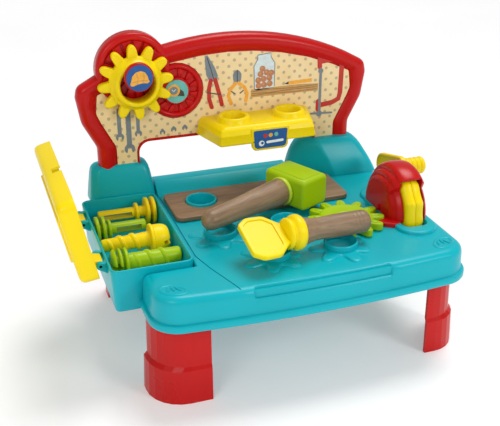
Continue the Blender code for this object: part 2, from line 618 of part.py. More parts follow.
def screwdriver():
    turn = Matrix.Rotation(math.radians(DRIVER_TURN), 3, "Z") @ Matrix.Rotation(math.radians(DRIVER_DIP), 3, "Y")
    tilt = Matrix.Rotation(math.radians(22), 3, "X")
    pivot = (*DRIVER_START, DRIVER_Z)
    outline = fillet_path(((0, -16, 5), (16, -28.5, 9), (30, -28, 9), (46, -13, 4), (54, -10, 3), (54, 10, 3),
                           (46, 13, 4), (30, 28, 9), (16, 28.5, 9), (0, 16, 5)))
    blade = loft(bmesh.new(), [on_z([(x + 1, y * 0.96) for x, y in outline], -2.8), on_z(outline, -1.5),
                               on_z(outline, 1.5), on_z([(x + 1, y * 0.96) for x, y in outline], 2.8)])
    obj = add("screwdriver_blade", move(blade, turn @ tilt, pivot), yellow(), pivot)
    collar = ((38, 8), (39, 16), (42, 19), (47, 19), (50, 16.5), (52, 16.5), (54.5, 19), (61, 19.4),
              (66, 17.6), (84, 7))
    boolean(obj, "UNION", move(lathe(bmesh.new(), collar, 24), turn, pivot), "ferrule_add")
    grip = ((66.3, 15), (69, 15.2), (78, 12.9), (88, 12), (104, 12.6), (134, 12.7), (145, 11.8), (149.5, 8),
            (151, 4))
    handle = add("screwdriver_handle", move(lathe(bmesh.new(), grip, 20), turn, pivot), wood(), pivot)
    socket = ((62, 19.4), (66.3, 17.7), (84.4, 7.4))
    boolean(handle, "DIFFERENCE", move(lathe(bmesh.new(), socket, 24), turn, pivot), "driver_cut")


def peg(name, mat, x, y, stations, slot=None):
    z = BIN_FLOOR + GAP + max(radius for _, radius in stations)
    obj = add(name, move(lathe(bmesh.new(), stations), Matrix.Identity(3), (x, y, z)), mat, (x, y, z))
    if slot:
        cut = prism(bmesh.new(), rounded_rect(x + slot[0], x + slot[1], y - 20, y + 20, 3, 3), on_z,
                    z - 3.2, z + 3.2)
        boolean(obj, "DIFFERENCE", cut, name + "_cut")
    return obj


def disc_stack(discs, ends, core):
    """Stations of a core with discs at (middle, half width, radius)."""
    out = [(ends[0], core - 1.2), (ends[0] + 1.2, core)]
    for mid, half, r in discs:
        out += [(mid - half, core), (mid - half, r - 1), (mid - half + 0.8, r), (mid + half - 0.8, r),
                (mid + half, r - 1), (mid + half, core)]
    return out + [(ends[1] - 1.2, core), (ends[1], core - 1.2)]


def pegs():
    nail_discs = ((46, 1.8, 11), (58.5, 2, 16), (66, 2, 16))
    peg("yellow_nail", yellow(), -170, 57, disc_stack(nail_discs, (0, 69.5), 6.5), (6, 40))
    nail_discs = ((3.5, 2, 16), (10.5, 2, 16), (17.5, 1.8, 11))
    peg("green_nail", green(), -180.7, 22, disc_stack(nail_discs, (0, 60), 6.5), (25, 54))
    screw = [(0, 5.5)]
    for i in range(4):
        screw += [(1.5 + i * 13, 6.8 + i * 0.6), (10.5 + i * 13, 8.4 + i * 0.6), (12 + i * 13, 7.0 + i * 0.6)]
    screw += [(54, 9.5), (54.5, 17.2), (57, 17.5), (59.5, 15.4), (61, 15.6), (72, 15), (76, 12)]
    peg("yellow_screw", yellow(), -180.7, -21, screw)
    bolt = [(0, 10), (2, 15), (6, 15.8), (15, 15.8), (18, 13), (18.5, 8.6)]
    for i in range(4):
        bolt += [(20 + i * 14, 8.6), (31 + i * 14, 10.2), (32 + i * 14, 8.6)]
    bolt += [(76.5, 8)]
    peg("green_screw", green(), -178, -62, bolt, (-4, 12))


# ---- screws ------------------------------------------------------------------------------

# name, place, direction of the shank, distance of the head's outer face, shank end, bored pieces
BOARD_AND_SHELF = ("backboard_frame", "print_panel", "shelf")
SCREWS = (
    ("shelf_screw_1", (-21.0, BOARD_Y[1], 213.0), "front", 0.5, 26.0, BOARD_AND_SHELF),
    ("shelf_screw_2", (99.0, BOARD_Y[1], 213.0), "front", 0.5, 26.0, BOARD_AND_SHELF),
    ("gear_peg_screw", (LOBE[0], BOARD_Y[1], LOBE[1]), "front", 0.5, 24.0, ("backboard_frame", "gear_peg")),
    ("left_pedestal_screw", (-104.0, 101.0, TOP_Z - WALL), "up", -2.4, 15.0, ("table_top", "left_pedestal")),
    ("right_pedestal_screw", (153.0, 82.0, TOP_Z - WALL), "up", -2.4, 15.0, ("table_top", "right_pedestal")),
    ("guard_screw", (147.6, -30.0, TOP_Z - WALL), "up", -2.4, 16.0, ("table_top", "saw_guard")),
)


def screw_solid(grow, head, end, place, aim):
    profile = ((head - grow, 3 + grow), (head + 2 + grow, 3 + grow), (head + 2 + grow, 1.5 + grow),
               (end + grow, 1.5 + grow))
    turn = TOWARD_FRONT if aim == "front" else ALONG_Z
    return move(lathe(bmesh.new(), profile, 10), turn, place)


def screws():
    steel = material("steel", (0.5, 0.5, 0.52), 0.3)
    for name, place, aim, head, end, pieces in SCREWS:
        add(name, screw_solid(0, head, end, place, aim), steel, place)
        for piece in pieces:
            bore = screw_solid(GAP, head, end, place, aim)
            boolean(bpy.data.objects[piece], "DIFFERENCE", bore, name + "_bore")


def build():
    for obj in list(bpy.data.objects):
        bpy.data.objects.remove(obj, do_unlink=True)
    datum = bpy.data.objects.new("bench_datum", None)
    bpy.context.scene.collection.objects.link(datum)
    datum.location = vec(*DATUM)
    table_top()
    leg("front_left_leg", -148, -150, -1, -1, 53, 42, 40)
    leg("front_right_leg", 195, -147, 1, -1, 36, 56)
    leg("rear_left_leg", -149, 113, -1, 1, 54, 25, 14)
    leg("rear_right_leg", 195, 113, 1, 1, 54, 56)
    pedestal("left_pedestal", -172, -92, NOTCH_REAR + GAP, 7, LEFT_HUMP, LEFT_FOOT)
    pedestal("right_pedestal", 84, 198.6, 68, 16, RIGHT_HUMP, RIGHT_FOOT)
    backboard_frame()
    print_panel()
    gear_peg()
    disc_label("helmet_label", LOBE, 15.4, PEG_FRONT - GAP, (0.01, 0.12, 0.40))
    disc_label("tape_label", DIAL, 14.3, BOARD_Y[0] + 0.7 - GAP, (0.12, 0.46, 0.42))
    gear("yellow_gear", yellow(), (LOBE[0], 92.8, LOBE[1] - HANG), 4, False)
    gear("green_gear", green(), (*GREEN_GEAR, TOP_Z + GAP), 15.3, True)
    shelf()
    shelf_label()
    tool_bin()
    for index, y in enumerate(LUGS, 1):
        hinge_pin(index, y)
    tray_lid()
    saw_guard()
    middle = sum(WHEEL_X) / 2
    wheel_half("saw_wheel_left", WHEEL_X[0], middle - GAP / 2, True)
    wheel_half("saw_wheel_right", middle + GAP / 2, WHEEL_X[1], False)
    saw_axle()
    saw_lever()
    plank()
    hammer()
    screwdriver()
    pegs()
    screws()


build()
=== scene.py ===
"""Looks for the toy workbench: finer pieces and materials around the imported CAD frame.

Lengths in the piece functions are millimetres in the bench's own datum frame, as in the CAD source.
"""
import math

import bmesh
import bpy
from mathutils import Matrix, Vector


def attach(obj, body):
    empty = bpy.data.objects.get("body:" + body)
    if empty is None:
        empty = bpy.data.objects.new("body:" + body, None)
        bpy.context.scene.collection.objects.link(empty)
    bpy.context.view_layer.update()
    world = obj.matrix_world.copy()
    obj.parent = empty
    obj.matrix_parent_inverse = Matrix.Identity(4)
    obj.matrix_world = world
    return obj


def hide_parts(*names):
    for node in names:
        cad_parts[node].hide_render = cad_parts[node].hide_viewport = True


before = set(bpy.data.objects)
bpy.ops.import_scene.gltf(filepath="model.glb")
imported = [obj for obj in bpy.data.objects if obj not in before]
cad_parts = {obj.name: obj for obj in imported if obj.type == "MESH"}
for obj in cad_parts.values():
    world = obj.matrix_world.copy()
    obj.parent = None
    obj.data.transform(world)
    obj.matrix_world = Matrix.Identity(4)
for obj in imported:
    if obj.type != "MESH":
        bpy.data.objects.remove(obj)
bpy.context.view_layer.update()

MM = 0.001
DATUM = Vector((7.2, 27.0, 0.0))
TOP = 134.0
SOCKETS = ((-48, 40), (92, 38), (-50, -44), (28, -46), (-11, -110), (65, -114))
BOARD_X = 6.0
LOBE = (-109.5, 290.5)
DIAL = (-59.5, 260.5)
PRINT_Y = 97.7
AXLE = (-49.5, 142.0)
HINGE = (-191.0, 136.3)
LID_OPEN = 102.0
LEVEL = Matrix.Identity(3)
BIN_FLOOR = 113.3
PLAY_GAP = 0.3
HINGE_Y = (-62, 42)
SHELF_HOLES = (5.0, 76.0)


# ---- shapes ------------------------------------------------------------------------------

def vec(x, y, z):
    return (Vector((x, y, z)) + DATUM) * MM


def polar(cx, cy, r, degrees):
    a = math.radians(degrees)
    return cx + r * math.cos(a), cy + r * math.sin(a)


def arc(cx, cy, r, start, stop, steps):
    return [polar(cx, cy, r, start + (stop - start) * i / steps) for i in range(steps + 1)]


def circle(cx, cy, r, count=48):
    return arc(cx, cy, r, 0, 360 - 360 / count, count - 1)


def ellipse(cx, cy, rx, ry, turn=0, count=32):
    c, s = polar(0, 0, 1, turn)
    return [(cx + rx * u * c - ry * v * s, cy + rx * u * s + ry * v * c) for u, v in circle(0, 0, 1, count)]


def rounded_rect(x0, x1, y0, y1, r, steps=6):
    return (arc(x1 - r, y0 + r, r, -90, 0, steps) + arc(x1 - r, y1 - r, r, 0, 90, steps)
            + arc(x0 + r, y1 - r, r, 90, 180, steps) + arc(x0 + r, y0 + r, r, 180, 270, steps))


def fillet_path(corners, steps=5):
    """Round each (x, y, radius) corner of a closed outline."""
    out = []
    count = len(corners)
    for i, (x, y, r) in enumerate(corners):
        here = Vector((x, y))
        back = Vector(corners[i - 1][:2]) - here
        ahead = Vector(corners[(i + 1) % count][:2]) - here
        if r == 0:
            out.append((x, y))
            continue
        half = back.angle(ahead) / 2
        cut = r / math.tan(half)
        centre = here + (back.normalized() + ahead.normalized()).normalized() * (r / math.sin(half))
        a = here + back.normalized() * cut - centre
        b = here + ahead.normalized() * cut - centre
        turn = a.angle_signed(b)
        for k in range(steps + 1):
            spot = Matrix.Rotation(-turn * k / steps, 2) @ a
            out.append((centre.x + spot.x, centre.y + spot.y))
    return out


def area(points):
    return sum(a[0] * b[1] - b[0] * a[1] for a, b in zip(points, points[1:] + points[:1])) / 2


def grow(points, d):
    """Move a closed outline outwards by d."""
    sign = 1 if area(points) > 0 else -1
    out = []
    count = len(points)
    for i in range(count):
        a, b, c = (Vector(points[k]) for k in (i - 1, i, (i + 1) % count))
        n1, n2 = (b - a).normalized(), (c - b).normalized()
        n = Vector((n1.y + n2.y, -n1.x - n2.x))
        if n.length < 1e-6:
            n = Vector((n1.y, -n1.x))
        n.normalize()
        lean = max(n.dot(Vector((n1.y, -n1.x))), 0.5)
        out.append(tuple(b + n * (d * sign / lean)))
    return out


def on_z(points, z):
    return [(x, y, z) for x, y in points]


def on_y(points, y):
    return [(x, y, z) for x, z in points]


def on_x(points, x):
    return [(x, y, z) for y, z in points]


def loft(rings, closed=False, bm=None):
    """Skin equal point rings with quads; cap the ends unless closed."""
    bm = bm or bmesh.new()
    rows = [[bm.verts.new(vec(*p)) for p in ring] for ring in rings]
    count = len(rows[0])
    pairs = list(zip(rows, rows[1:])) + ([(rows[-1], rows[0])] if closed else [])
    for low, high in pairs:
        for i in range(count):
            j = (i + 1) % count
            bm.faces.new((low[i], low[j], high[j], high[i]))
    if not closed:
        bm.faces.new(rows[0])
        bm.faces.new(rows[-1])
    return bm


def slab(points, plane, low, high, r=0.8, steps=3, bm=None, both=True):
    """Extrude an outline with its edges rounded by r."""
    turn = [math.radians(90 * i / steps) for i in range(steps + 1)]
    side = 1 if high > low else -1
    rings = []
    if both:
        rings += [plane(grow(points, -r * (1 - math.sin(t))), low + side * r * (1 - math.cos(t)))
                  for t in turn]
    else:
        rings.append(plane(points, low))
    rings += [plane(grow(points, -r * (1 - math.cos(t))), high - side * r * (1 - math.sin(t))) for t in turn]
    return loft(rings, bm=bm)


def hole(plane, outline, low, high, bm=None):
    """Straight prism that cuts a hole with the given outline."""
    return loft([plane(outline, low), plane(outline, high)], bm=bm)


def lathe(profile, steps=48):
    """Turn (along, radius) stations about the X axis."""
    return loft([on_x(circle(0, 0, max(r, 0.3), steps), a) for a, r in profile])


def revolve(profile, centre):
    """Turn a closed (radius, height) section about an upright axis through centre."""
    return loft([on_z(circle(*centre, r), h) for r, h in profile], closed=True)


def placed(bm, rotation, spot):
    """Carry a shape built round the datum's own zero to its place."""
    bmesh.ops.translate(bm, verts=bm.verts, vec=-DATUM * MM)
    bmesh.ops.transform(bm, matrix=rotation.to_4x4(), verts=bm.verts)
    bmesh.ops.translate(bm, verts=bm.verts, vec=vec(*spot))
    return bm


def turned(angle, axis):
    return Matrix.Rotation(math.radians(angle), 3, axis)


def add_object(name, data):
    obj = bpy.data.objects.new(name, data)
    bpy.context.scene.collection.objects.link(obj)
    return obj


def mesh_object(name, bm):
    mesh = bpy.data.meshes.new(name)
    bm.to_mesh(mesh)
    bm.free()
    return add_object(name, mesh)


def make(name, bm, mat, nodes=(), body="bench", sharp=38, cuts=(), swing=None, bevel=0.0):
    """Finish a piece: cut it, round its edges, give it a material and hang it on its CAD body."""
    bmesh.ops.recalc_face_normals(bm, faces=bm.faces)
    obj = mesh_object(name, bm)
    obj.data.materials.append(mat)
    for cut in cuts:
        cut_away(obj, cut)
    if swing:
        obj.data.transform(swing)
    if bevel:
        round_edges(obj, bevel, 35)
        sharp = 60
    obj.data.shade_smooth()
    obj.data.set_sharp_from_angle(angle=math.radians(sharp))
    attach(obj, body)
    if nodes:
        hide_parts(*nodes)
    return obj


def round_edges(obj, width, angle):
    mod = obj.modifiers.new("edge", "BEVEL")
    mod.width, mod.segments, mod.limit_method = width * MM, 3, "ANGLE"
    mod.angle_limit = math.radians(angle)
    mod.harden_normals = True


def paint(node, mat):
    """Give a CAD piece that is shown as it is its material."""
    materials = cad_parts[node].data.materials
    materials.clear()
    materials.append(mat)


def cut_away(obj, bm):
    """Subtract a shape from a piece."""
    bmesh.ops.recalc_face_normals(bm, faces=bm.faces)
    tool = mesh_object("tool", bm)
    mod = obj.modifiers.new("tool", "BOOLEAN")
    mod.operation, mod.solver, mod.object = "DIFFERENCE", "EXACT", tool
    bpy.context.view_layer.update()
    shaped = bpy.data.meshes.new_from_object(obj.evaluated_get(bpy.context.evaluated_depsgraph_get()))
    obj.modifiers.clear()
    obj.data = shaped
    bpy.data.objects.remove(tool)


# ---- materials ---------------------------------------------------------------------------

def linear(r, g, b):
    """Screen colour (0 to 255) as a linear colour."""
    def channel(c):
        return c / 255 / 12.92 if c <= 10 else ((c / 255 + 0.055) / 1.055) ** 2.4
    return channel(r), channel(g), channel(b), 1.0


class Nodes:
    """Small helper for building a material's node tree."""

    def __init__(self, name):
        self.mat = bpy.data.materials.new(name)
        self.mat.use_nodes = True
        self.tree = self.mat.node_tree
        self.shader = self.tree.nodes["Principled BSDF"]
        self.coords = self.tree.nodes.new("ShaderNodeTexCoord").outputs["Object"]

    def add(self, kind, inputs=(), **settings):
        node = self.tree.nodes.new(kind)
        for key, value in settings.items():
            setattr(node, key, value)
        for key, value in dict(inputs).items():
            if isinstance(value, bpy.types.NodeSocket):
                self.tree.links.new(value, node.inputs[key])
            else:
                node.inputs[key].default_value = value
        return node

    def noise(self, scale, detail=3.0, vector=None):
        return self.add("ShaderNodeTexNoise", {"Vector": vector or self.coords, "Scale": scale,
                                               "Detail": detail}).outputs["Fac"]

    def vector(self, operation, *values):
        node = self.add("ShaderNodeVectorMath", dict(enumerate(values)), operation=operation)
        return node.outputs["Vector"]

    def ramp(self, value, stops):
        node = self.add("ShaderNodeValToRGB", {"Fac": value})
        while len(node.color_ramp.elements) < len(stops):
            node.color_ramp.elements.new(0.5)
        for element, (place, colour) in zip(node.color_ramp.elements, stops):
            element.position, element.color = place, colour
        return node.outputs["Color"]

    def spread(self, value, low, high):
        return self.add("ShaderNodeMapRange", {"Value": value, "From Min": 0.3, "From Max": 0.7,
                                               "To Min": low, "To Max": high}).outputs["Result"]

    def mix(self, fac, a, b, mode="MIX"):
        node = self.add("ShaderNodeMix", data_type="RGBA", blend_type=mode)
        for socket, value in ((node.inputs[0], fac), (node.inputs[6], a), (node.inputs[7], b)):
            if isinstance(value, bpy.types.NodeSocket):
                self.tree.links.new(value, socket)
            else:
                socket.default_value = value
        return node.outputs[2]

    def join(self, value, socket):
        self.tree.links.new(value, self.shader.inputs[socket])

    def put(self, socket, value):
        self.shader.inputs[socket].default_value = value

    def bump(self, height, strength, distance=0.0004):
        node = self.add("ShaderNodeBump", {"Height": height, "Strength": strength, "Distance": distance})
        self.join(node.outputs["Normal"], "Normal")


def shade(colour, factor):
    return tuple(min(1.0, c * factor) for c in colour[:3]) + (1.0,)


def plastic(name, rgb, roughness=0.3):
    """Moulded plastic: faint cloudiness, slightly uneven gloss and a very fine moulding texture."""
    n = Nodes(name)
    base = linear(*rgb)
    n.join(n.ramp(n.noise(9.0, 3.0), ((0.3, shade(base, 0.95)), (0.7, shade(base, 1.04)))), "Base Color")
    n.join(n.spread(n.noise(25.0, 3.0), roughness - 0.02, roughness + 0.04), "Roughness")
    n.put("Specular IOR Level", 0.24)
    n.bump(n.noise(900.0, 2.0), 0.02)
    return n.mat


def wood_look(name, dark, light, stretch):
    """Printed wood-look plastic: streaks along the piece's own X axis."""
    n = Nodes(name)
    mapped = n.add("ShaderNodeMapping", {"Vector": n.coords, "Scale": stretch}).outputs["Vector"]
    bend = n.add("ShaderNodeTexNoise", {"Vector": mapped, "Scale": 1.3, "Detail": 3.0}).outputs["Color"]
    warped = n.vector("ADD", mapped, bend)
    streak = n.noise(3.2, 6.0, warped)
    fine = n.noise(11.0, 4.0, warped)
    mid = tuple((a + b) / 2 for a, b in zip(linear(*dark), linear(*light)))
    grain = n.ramp(streak, ((0.3, linear(*dark)), (0.5, mid), (0.7, linear(*light))))
    pores = n.ramp(fine, ((0.35, (0.74, 0.72, 0.70, 1)), (0.55, (1, 1, 1, 1))))
    n.join(n.mix(0.4, grain, pores, "MULTIPLY"), "Base Color")
    n.join(n.spread(fine, 0.5, 0.38), "Roughness")
    n.bump(streak, 0.12, 0.0003)
    return n.mat


def printed(name, rgb):
    """Flat ink on a label: a trace of mottling in the ink and an uneven varnish."""
    n = Nodes(name)
    base = linear(*rgb)
    n.join(n.ramp(n.noise(220.0, 3.0), ((0.35, shade(base, 0.92)), (0.65, shade(base, 1.06)))),
           "Base Color")
    n.join(n.spread(n.noise(90.0), 0.37, 0.50), "Roughness")
    return n.mat


def dotted_card():
    """Pegboard print: warm beige with staggered grey-brown dots."""
    n = Nodes("pegboard_print")
    pitch = 0.0142
    flat = n.vector("MULTIPLY", n.coords, (1 / pitch, 0, 1 / pitch))
    nearest = None
    for shift in (0.0, 0.5):
        moved = n.vector("ADD", flat, (shift, 0, shift))
        middle = n.vector("SUBTRACT", n.vector("FRACTION", moved), (0.5, 0, 0.5))
        reach = n.add("ShaderNodeVectorMath", {0: middle}, operation="LENGTH").outputs["Value"]
        nearest = reach if nearest is None else n.add("ShaderNodeMath", {0: nearest, 1: reach},
                                                      operation="MINIMUM").outputs["Value"]
    ink = n.add("ShaderNodeMapRange", {"Value": nearest, "From Min": 0.125, "From Max": 0.155,
                                       "To Min": 0.62, "To Max": 0.0}).outputs["Result"]
    card = n.ramp(n.noise(45.0, 4.0), ((0.3, linear(240, 211, 156)), (0.7, linear(247, 221, 170))))
    n.join(n.mix(ink, card, linear(150, 137, 116)), "Base Color")
    n.join(n.spread(n.noise(80.0), 0.42, 0.55), "Roughness")
    return n.mat


def steel():
    n = Nodes("zinc_screw")
    n.join(n.ramp(n.noise(300.0), ((0.3, (0.40, 0.40, 0.42, 1)), (0.7, (0.60, 0.60, 0.62, 1)))),
           "Base Color")
    n.put("Metallic", 1.0)
    n.join(n.spread(n.noise(500.0), 0.3, 0.45), "Roughness")
    return n.mat


TEAL = plastic("teal_plastic", (5, 174, 187))
RED = plastic("red_plastic", (194, 14, 12), 0.28)
YELLOW = plastic("yellow_plastic", (248, 219, 2), 0.32)
LIME = plastic("lime_plastic", (163, 197, 10), 0.30)
PALE_LIME = plastic("pale_lime_plastic", (190, 210, 60), 0.30)
HANDLE = wood_look("wood_look_handle", (124, 98, 72), (158, 129, 98), (7, 60, 60))
PLANK = wood_look("wood_look_plank", (128, 98, 70), (156, 125, 92), (5, 60, 60))
CARD = dotted_card()
BLUE = printed("blue_print", (12, 84, 156))
SEA = printed("teal_print", (104, 186, 178))
GREY_INK = printed("grey_print", (122, 132, 140))
RED_INK = printed("red_print", (193, 38, 26))
ORANGE_INK = printed("orange_print", (243, 172, 54))
DARK_INK = printed("dark_print", (62, 62, 60))
WHITE_INK = printed("white_print", (236, 240, 242))
GLASS_INK = printed("pale_glass_print", (212, 226, 230))
BROWN_INK = printed("brown_print", (190, 124, 86))
BOARD_INK = printed("board_print", (196, 154, 92))
GRAIN_INK = printed("grain_print", (150, 108, 58))
STEEL = steel()

# ---- table -------------------------------------------------------------------------------

LEFT_X, RIGHT_X, REAR_LEFT_X, FRONT_Y, REAR_Y, BOW, CORNER_R = -153.0, 199.0, -172.0, -172.0, 118.0, 7.0, 29.0
NOTCH_X, NOTCH_FRONT, NOTCH_REAR = -95.5, -103.0, 84.0
BAND = (-54.0, 102.0)


def smooth(t):
    t = max(0.0, min(1.0, t))
    return t * t * (3 - 2 * t)


def in_band(x):
    """1 in the middle of the front edge, 0 on the corner pads."""
    return smooth((x - BAND[0]) / 4) * smooth((BAND[1] - x) / 4)


def table_ring(pad, mid, notch):
    """One ring of the table shell; pad and mid are (outward, height) at the corners and mid front."""
    out, z = pad
    r = CORNER_R
    centre, half = (LEFT_X + RIGHT_X) / 2, (RIGHT_X - LEFT_X) / 2 - r
    pts = on_z(arc(LEFT_X + r, FRONT_Y + BOW + r, r + out, 180, 266, 12), z)
    xs = [centre + half * (i / 14 - 1) * 0.94 for i in range(29)]
    for edge, way in ((BAND[0], 1), (BAND[1], -1)):
        xs = [x for x in xs if not edge - 6 < x < edge + 6] + [edge + way * k * 0.8 for k in range(6)]
    for x in sorted(xs):
        s = in_band(x)
        reach, height = out + (mid[0] - out) * s, z + (mid[1] - z) * s
        pts.append((x, FRONT_Y + BOW * ((x - centre) / half) ** 2 - reach, height))
    pts += on_z(arc(RIGHT_X - r, FRONT_Y + BOW + r, r + out, 274, 360, 12), z)
    pts += on_z(arc(RIGHT_X - 20, REAR_Y - 20, 20 + out, 0, 90, 8), z)
    pts += on_z(arc(REAR_LEFT_X + 14, REAR_Y - 14, 14 + min(out, 2), 90, 180, 6), z)
    edge = REAR_LEFT_X - min(out, 2)
    pts += on_z([(edge, NOTCH_REAR - notch), (NOTCH_X - notch, NOTCH_REAR - notch),
                 (NOTCH_X - notch, NOTCH_FRONT + notch), (LEFT_X - out, NOTCH_FRONT + notch)], z)
    return pts


def table():
    pads = ((-16, TOP), (-10, TOP), (-7, 133.6), (-4.4, 132.6), (-2.4, 131.1), (-1, 129), (-0.3, 126.6),
            (0, 124), (0, 123), (0.05, 121.8), (0.1, 120.4), (0.5, 108), (0.9, 105.2), (3.8, 104.3),
            (4.5, 103.1), (4.5, 98), (3.6, 96.4), (1.2, 96), (-3, 96), (-3, 130.8))
    mids = ((-16, TOP), (-8.4, TOP), (-7.4, 133.7), (-6.8, 133), (-6.5, 132), (-6.3, 127), (-6.0, 124.2),
            (-5.2, 123.1), (-4, 122.8), (-1.3, 122.3), (-0.1, 120.8)) + pads[11:]
    notches = (-5, -2, -1.2, -0.5, -0.2) + (0,) * 13 + (-3, -3)
    shell = loft([table_ring(p, m, n) for p, m, n in zip(pads, mids, notches)])
    cuts = bmesh.new()
    for x, y in SOCKETS:
        hole(on_z, circle(x, y, 17.4), 120, 140, cuts)
    hole(on_z, rounded_rect(151, 182.5, -102, 8, 8), 120, 140, cuts)
    line = ((-79, 99), (-90, 87), (-90.6, -82), (-83, -113), (-63, -176))
    wide = [(x + 0.7, y) for x, y in line] + [(x - 0.7, y) for x, y in reversed(line)]
    seam = hole(on_z, wide, TOP - 1.3, TOP + 3)
    make("table_shell", shell, TEAL, ("table_top",), sharp=32, cuts=(cuts, seam))


def sockets():
    section = ((19.9, TOP - 0.6), (19.2, TOP + 0.7), (18.8, TOP + 2.4), (18.7, 141.4), (18.4, 142.4),
               (17.7, 143), (17, 143), (16.3, 142.5), (16, 141.5), (16, 110.6), (16.6, 110), (18.4, 110),
               (18.9, 110.6), (18.9, 131))
    for i, spot in enumerate(SOCKETS, 1):
        make("socket_%d" % i, revolve(section, spot), TEAL)


def splat(name, x, y, lobes):
    """Low paint-splash relief round a socket; lobes are (direction, reach)."""
    def ring(shrink, z):
        out = []
        for i in range(144):
            a = 2.5 * i
            r = 23.0
            for way, reach in lobes:
                off = (a - way + 180) % 360 - 180
                r += (reach - 23.0) * math.exp(-abs(off / 15) ** 3)
            r -= shrink
            out.append((*polar(x, y, r, a), z))
        return out
    rings = [ring(d, z) for d, z in ((-1.6, TOP - 0.5), (-0.6, TOP + 0.1), (0.4, TOP + 1.0), (1.6, TOP + 1.8),
                                     (3.2, TOP + 2.3), (5, TOP + 2.5), (12, TOP + 2.5))]
    make(name, loft(rings), TEAL, sharp=70)


def splats():
    splat("splat_front_right", 65, -114, ((172, 36), (222, 40), (276, 39), (322, 34), (20, 31), (95, 28)))
    splat("splat_front_left", -11, -110, ((150, 36), (200, 39), (248, 37), (300, 36), (350, 30), (60, 26)))
    splat("splat_middle_left", -50, -44, ((165, 36), (212, 38), (262, 36), (312, 34), (15, 28), (80, 27)))
    splat("splat_middle_right", 28, -46, ((140, 30), (205, 34), (265, 32), (330, 30), (50, 30)))


def table_trim():
    outer, inner = rounded_rect(143, 190, -119, 19, 23, 8), rounded_rect(152, 181.5, -101, 7, 8, 8)
    rings = [on_z(grow(outer, 1.0), TOP - 0.6), on_z(outer, TOP + 0.8), on_z(outer, TOP + 2.2),
             on_z(grow(outer, -0.7), TOP + 3.4), on_z(grow(outer, -1.9), TOP + 4),
             on_z(grow(inner, 1.6), TOP + 4),
             on_z(grow(inner, 0.5), TOP + 3.5), on_z(inner, TOP + 2.4), on_z(inner, 120),
             on_z(grow(inner, 1.5), 120)]
    relief = slab(rounded_rect(184.6, 200, -64, 30, 2, 3), on_z, TOP - 0.3, TOP + 8, 0.1, 1)
    make("saw_rim", loft(rings, closed=True), TEAL, cuts=(relief,))
    ridge = [(75, TOP - 1), (77.5, TOP + 0.6), (97, TOP + 12.2), (99.5, TOP + 13), (114, TOP + 13),
             (116.6, TOP + 12), (117.6, TOP + 9.4), (117.6, TOP - 1)]
    make("rear_curb", slab(ridge, on_x, -91, 84, 0.6, 2), TEAL, sharp=30)
    for side, x, y, turn in (("left", -131, -145, -34), ("right", 176, -142, 34)):
        hollow = [on_z(ellipse(x, y, 15.5 - d, 10 - d, turn), TOP + z) for d, z in
                  ((-0.8, -0.4), (0, 0.2), (0.8, 0.9), (1.8, 1.1), (2.8, 0.8), (3.8, 0.15), (4.4, -0.5))]
        make("corner_oval_%s" % side, loft(hollow), TEAL)
        for i, (dx, dy, bend) in enumerate(((-5, 1.5, 70), (0, 3, 92), (5, 1, 118))):
            mark = [on_z(ellipse(x + dx, y + dy, 5.6 - d, 1.5 - d * 0.4, bend, 20), TOP + z) for d, z in
                    ((0, -0.4), (0.2, 0.5), (0.9, 1.0))]
            make("corner_mark_%s_%d" % (side, i + 1), loft(mark), TEAL)


# inset of the left side, of the right side and of the front, height, then the corner cut along X and Y
LEFT_HUMP = ((0, 0, 0, 0, 8, 6), (0.4, 0.4, 0.6, 4, 8, 6), (1, 1, 1.5, 9, 8, 6), (2, 2, 3, 17, 8, 6),
             (3, 3, 5, 24, 8, 6), (4, 4, 7, 31, 8, 6), (5.2, 5.2, 9, 36, 8, 6), (6.8, 6.8, 10.4, 39, 8, 6),
             (9.4, 9.4, 12, 40.9, 8, 6), (12.4, 12.4, 13.4, 41.4, 7, 5))
RIGHT_HUMP = ((0, 0, 0, 0, 56, 36), (1, 1.6, 0.6, 4, 54, 35), (2.5, 4.2, 2, 10, 50, 33),
              (4, 7, 4, 16, 46, 30), (5.8, 10.2, 6.2, 22, 42, 28), (8, 13.4, 9, 28, 36, 25),
              (11, 16.6, 12, 34, 30, 22), (14.6, 20, 14.6, 39, 24, 18), (19, 23.6, 17, 42.6, 18, 15),
              (24, 27.4, 19.2, 44.8, 14, 12), (29, 31, 21, 45.6, 12, 10))


def pedestal(name, node, x0, x1, front, back_r, hump):
    rings = []
    for left, right, lean, height, cut_x, cut_y in hump:
        y0, r = front + lean, 7 + (left + right) * 0.12
        corners = ((x0 + left, y0 + cut_y, r), (x0 + left + cut_x, y0, r), (x1 - right, y0, r),
                   (x1 - right, 117.6, back_r), (x0 + left, 117.6, 6))
        rings.append(on_z(fillet_path(corners, 8), TOP + 0.1 + height))
    make(name, loft(rings), TEAL, (node,), sharp=60)


def legs():
    for node in ("front_left_leg", "front_right_leg", "rear_left_leg", "rear_right_leg"):
        paint(node, RED)
        round_edges(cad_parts[node], 1.3, 25)


# ---- board -------------------------------------------------------------------------------

APEX_Z, SHOULDER_Z, WAIST_Z, NECK_Z, FOOT_Z, UNDER_Z = 324.0, 262.0, 230.0, 198.0, 152.0, 202.0
CORNER_HALF, SHOULDER_HALF, WAIST_HALF, FOOT_HALF, FOOT_INNER = 182.0, 184.5, 179.5, 163.0, 114.0
ARCH_R = 356.0


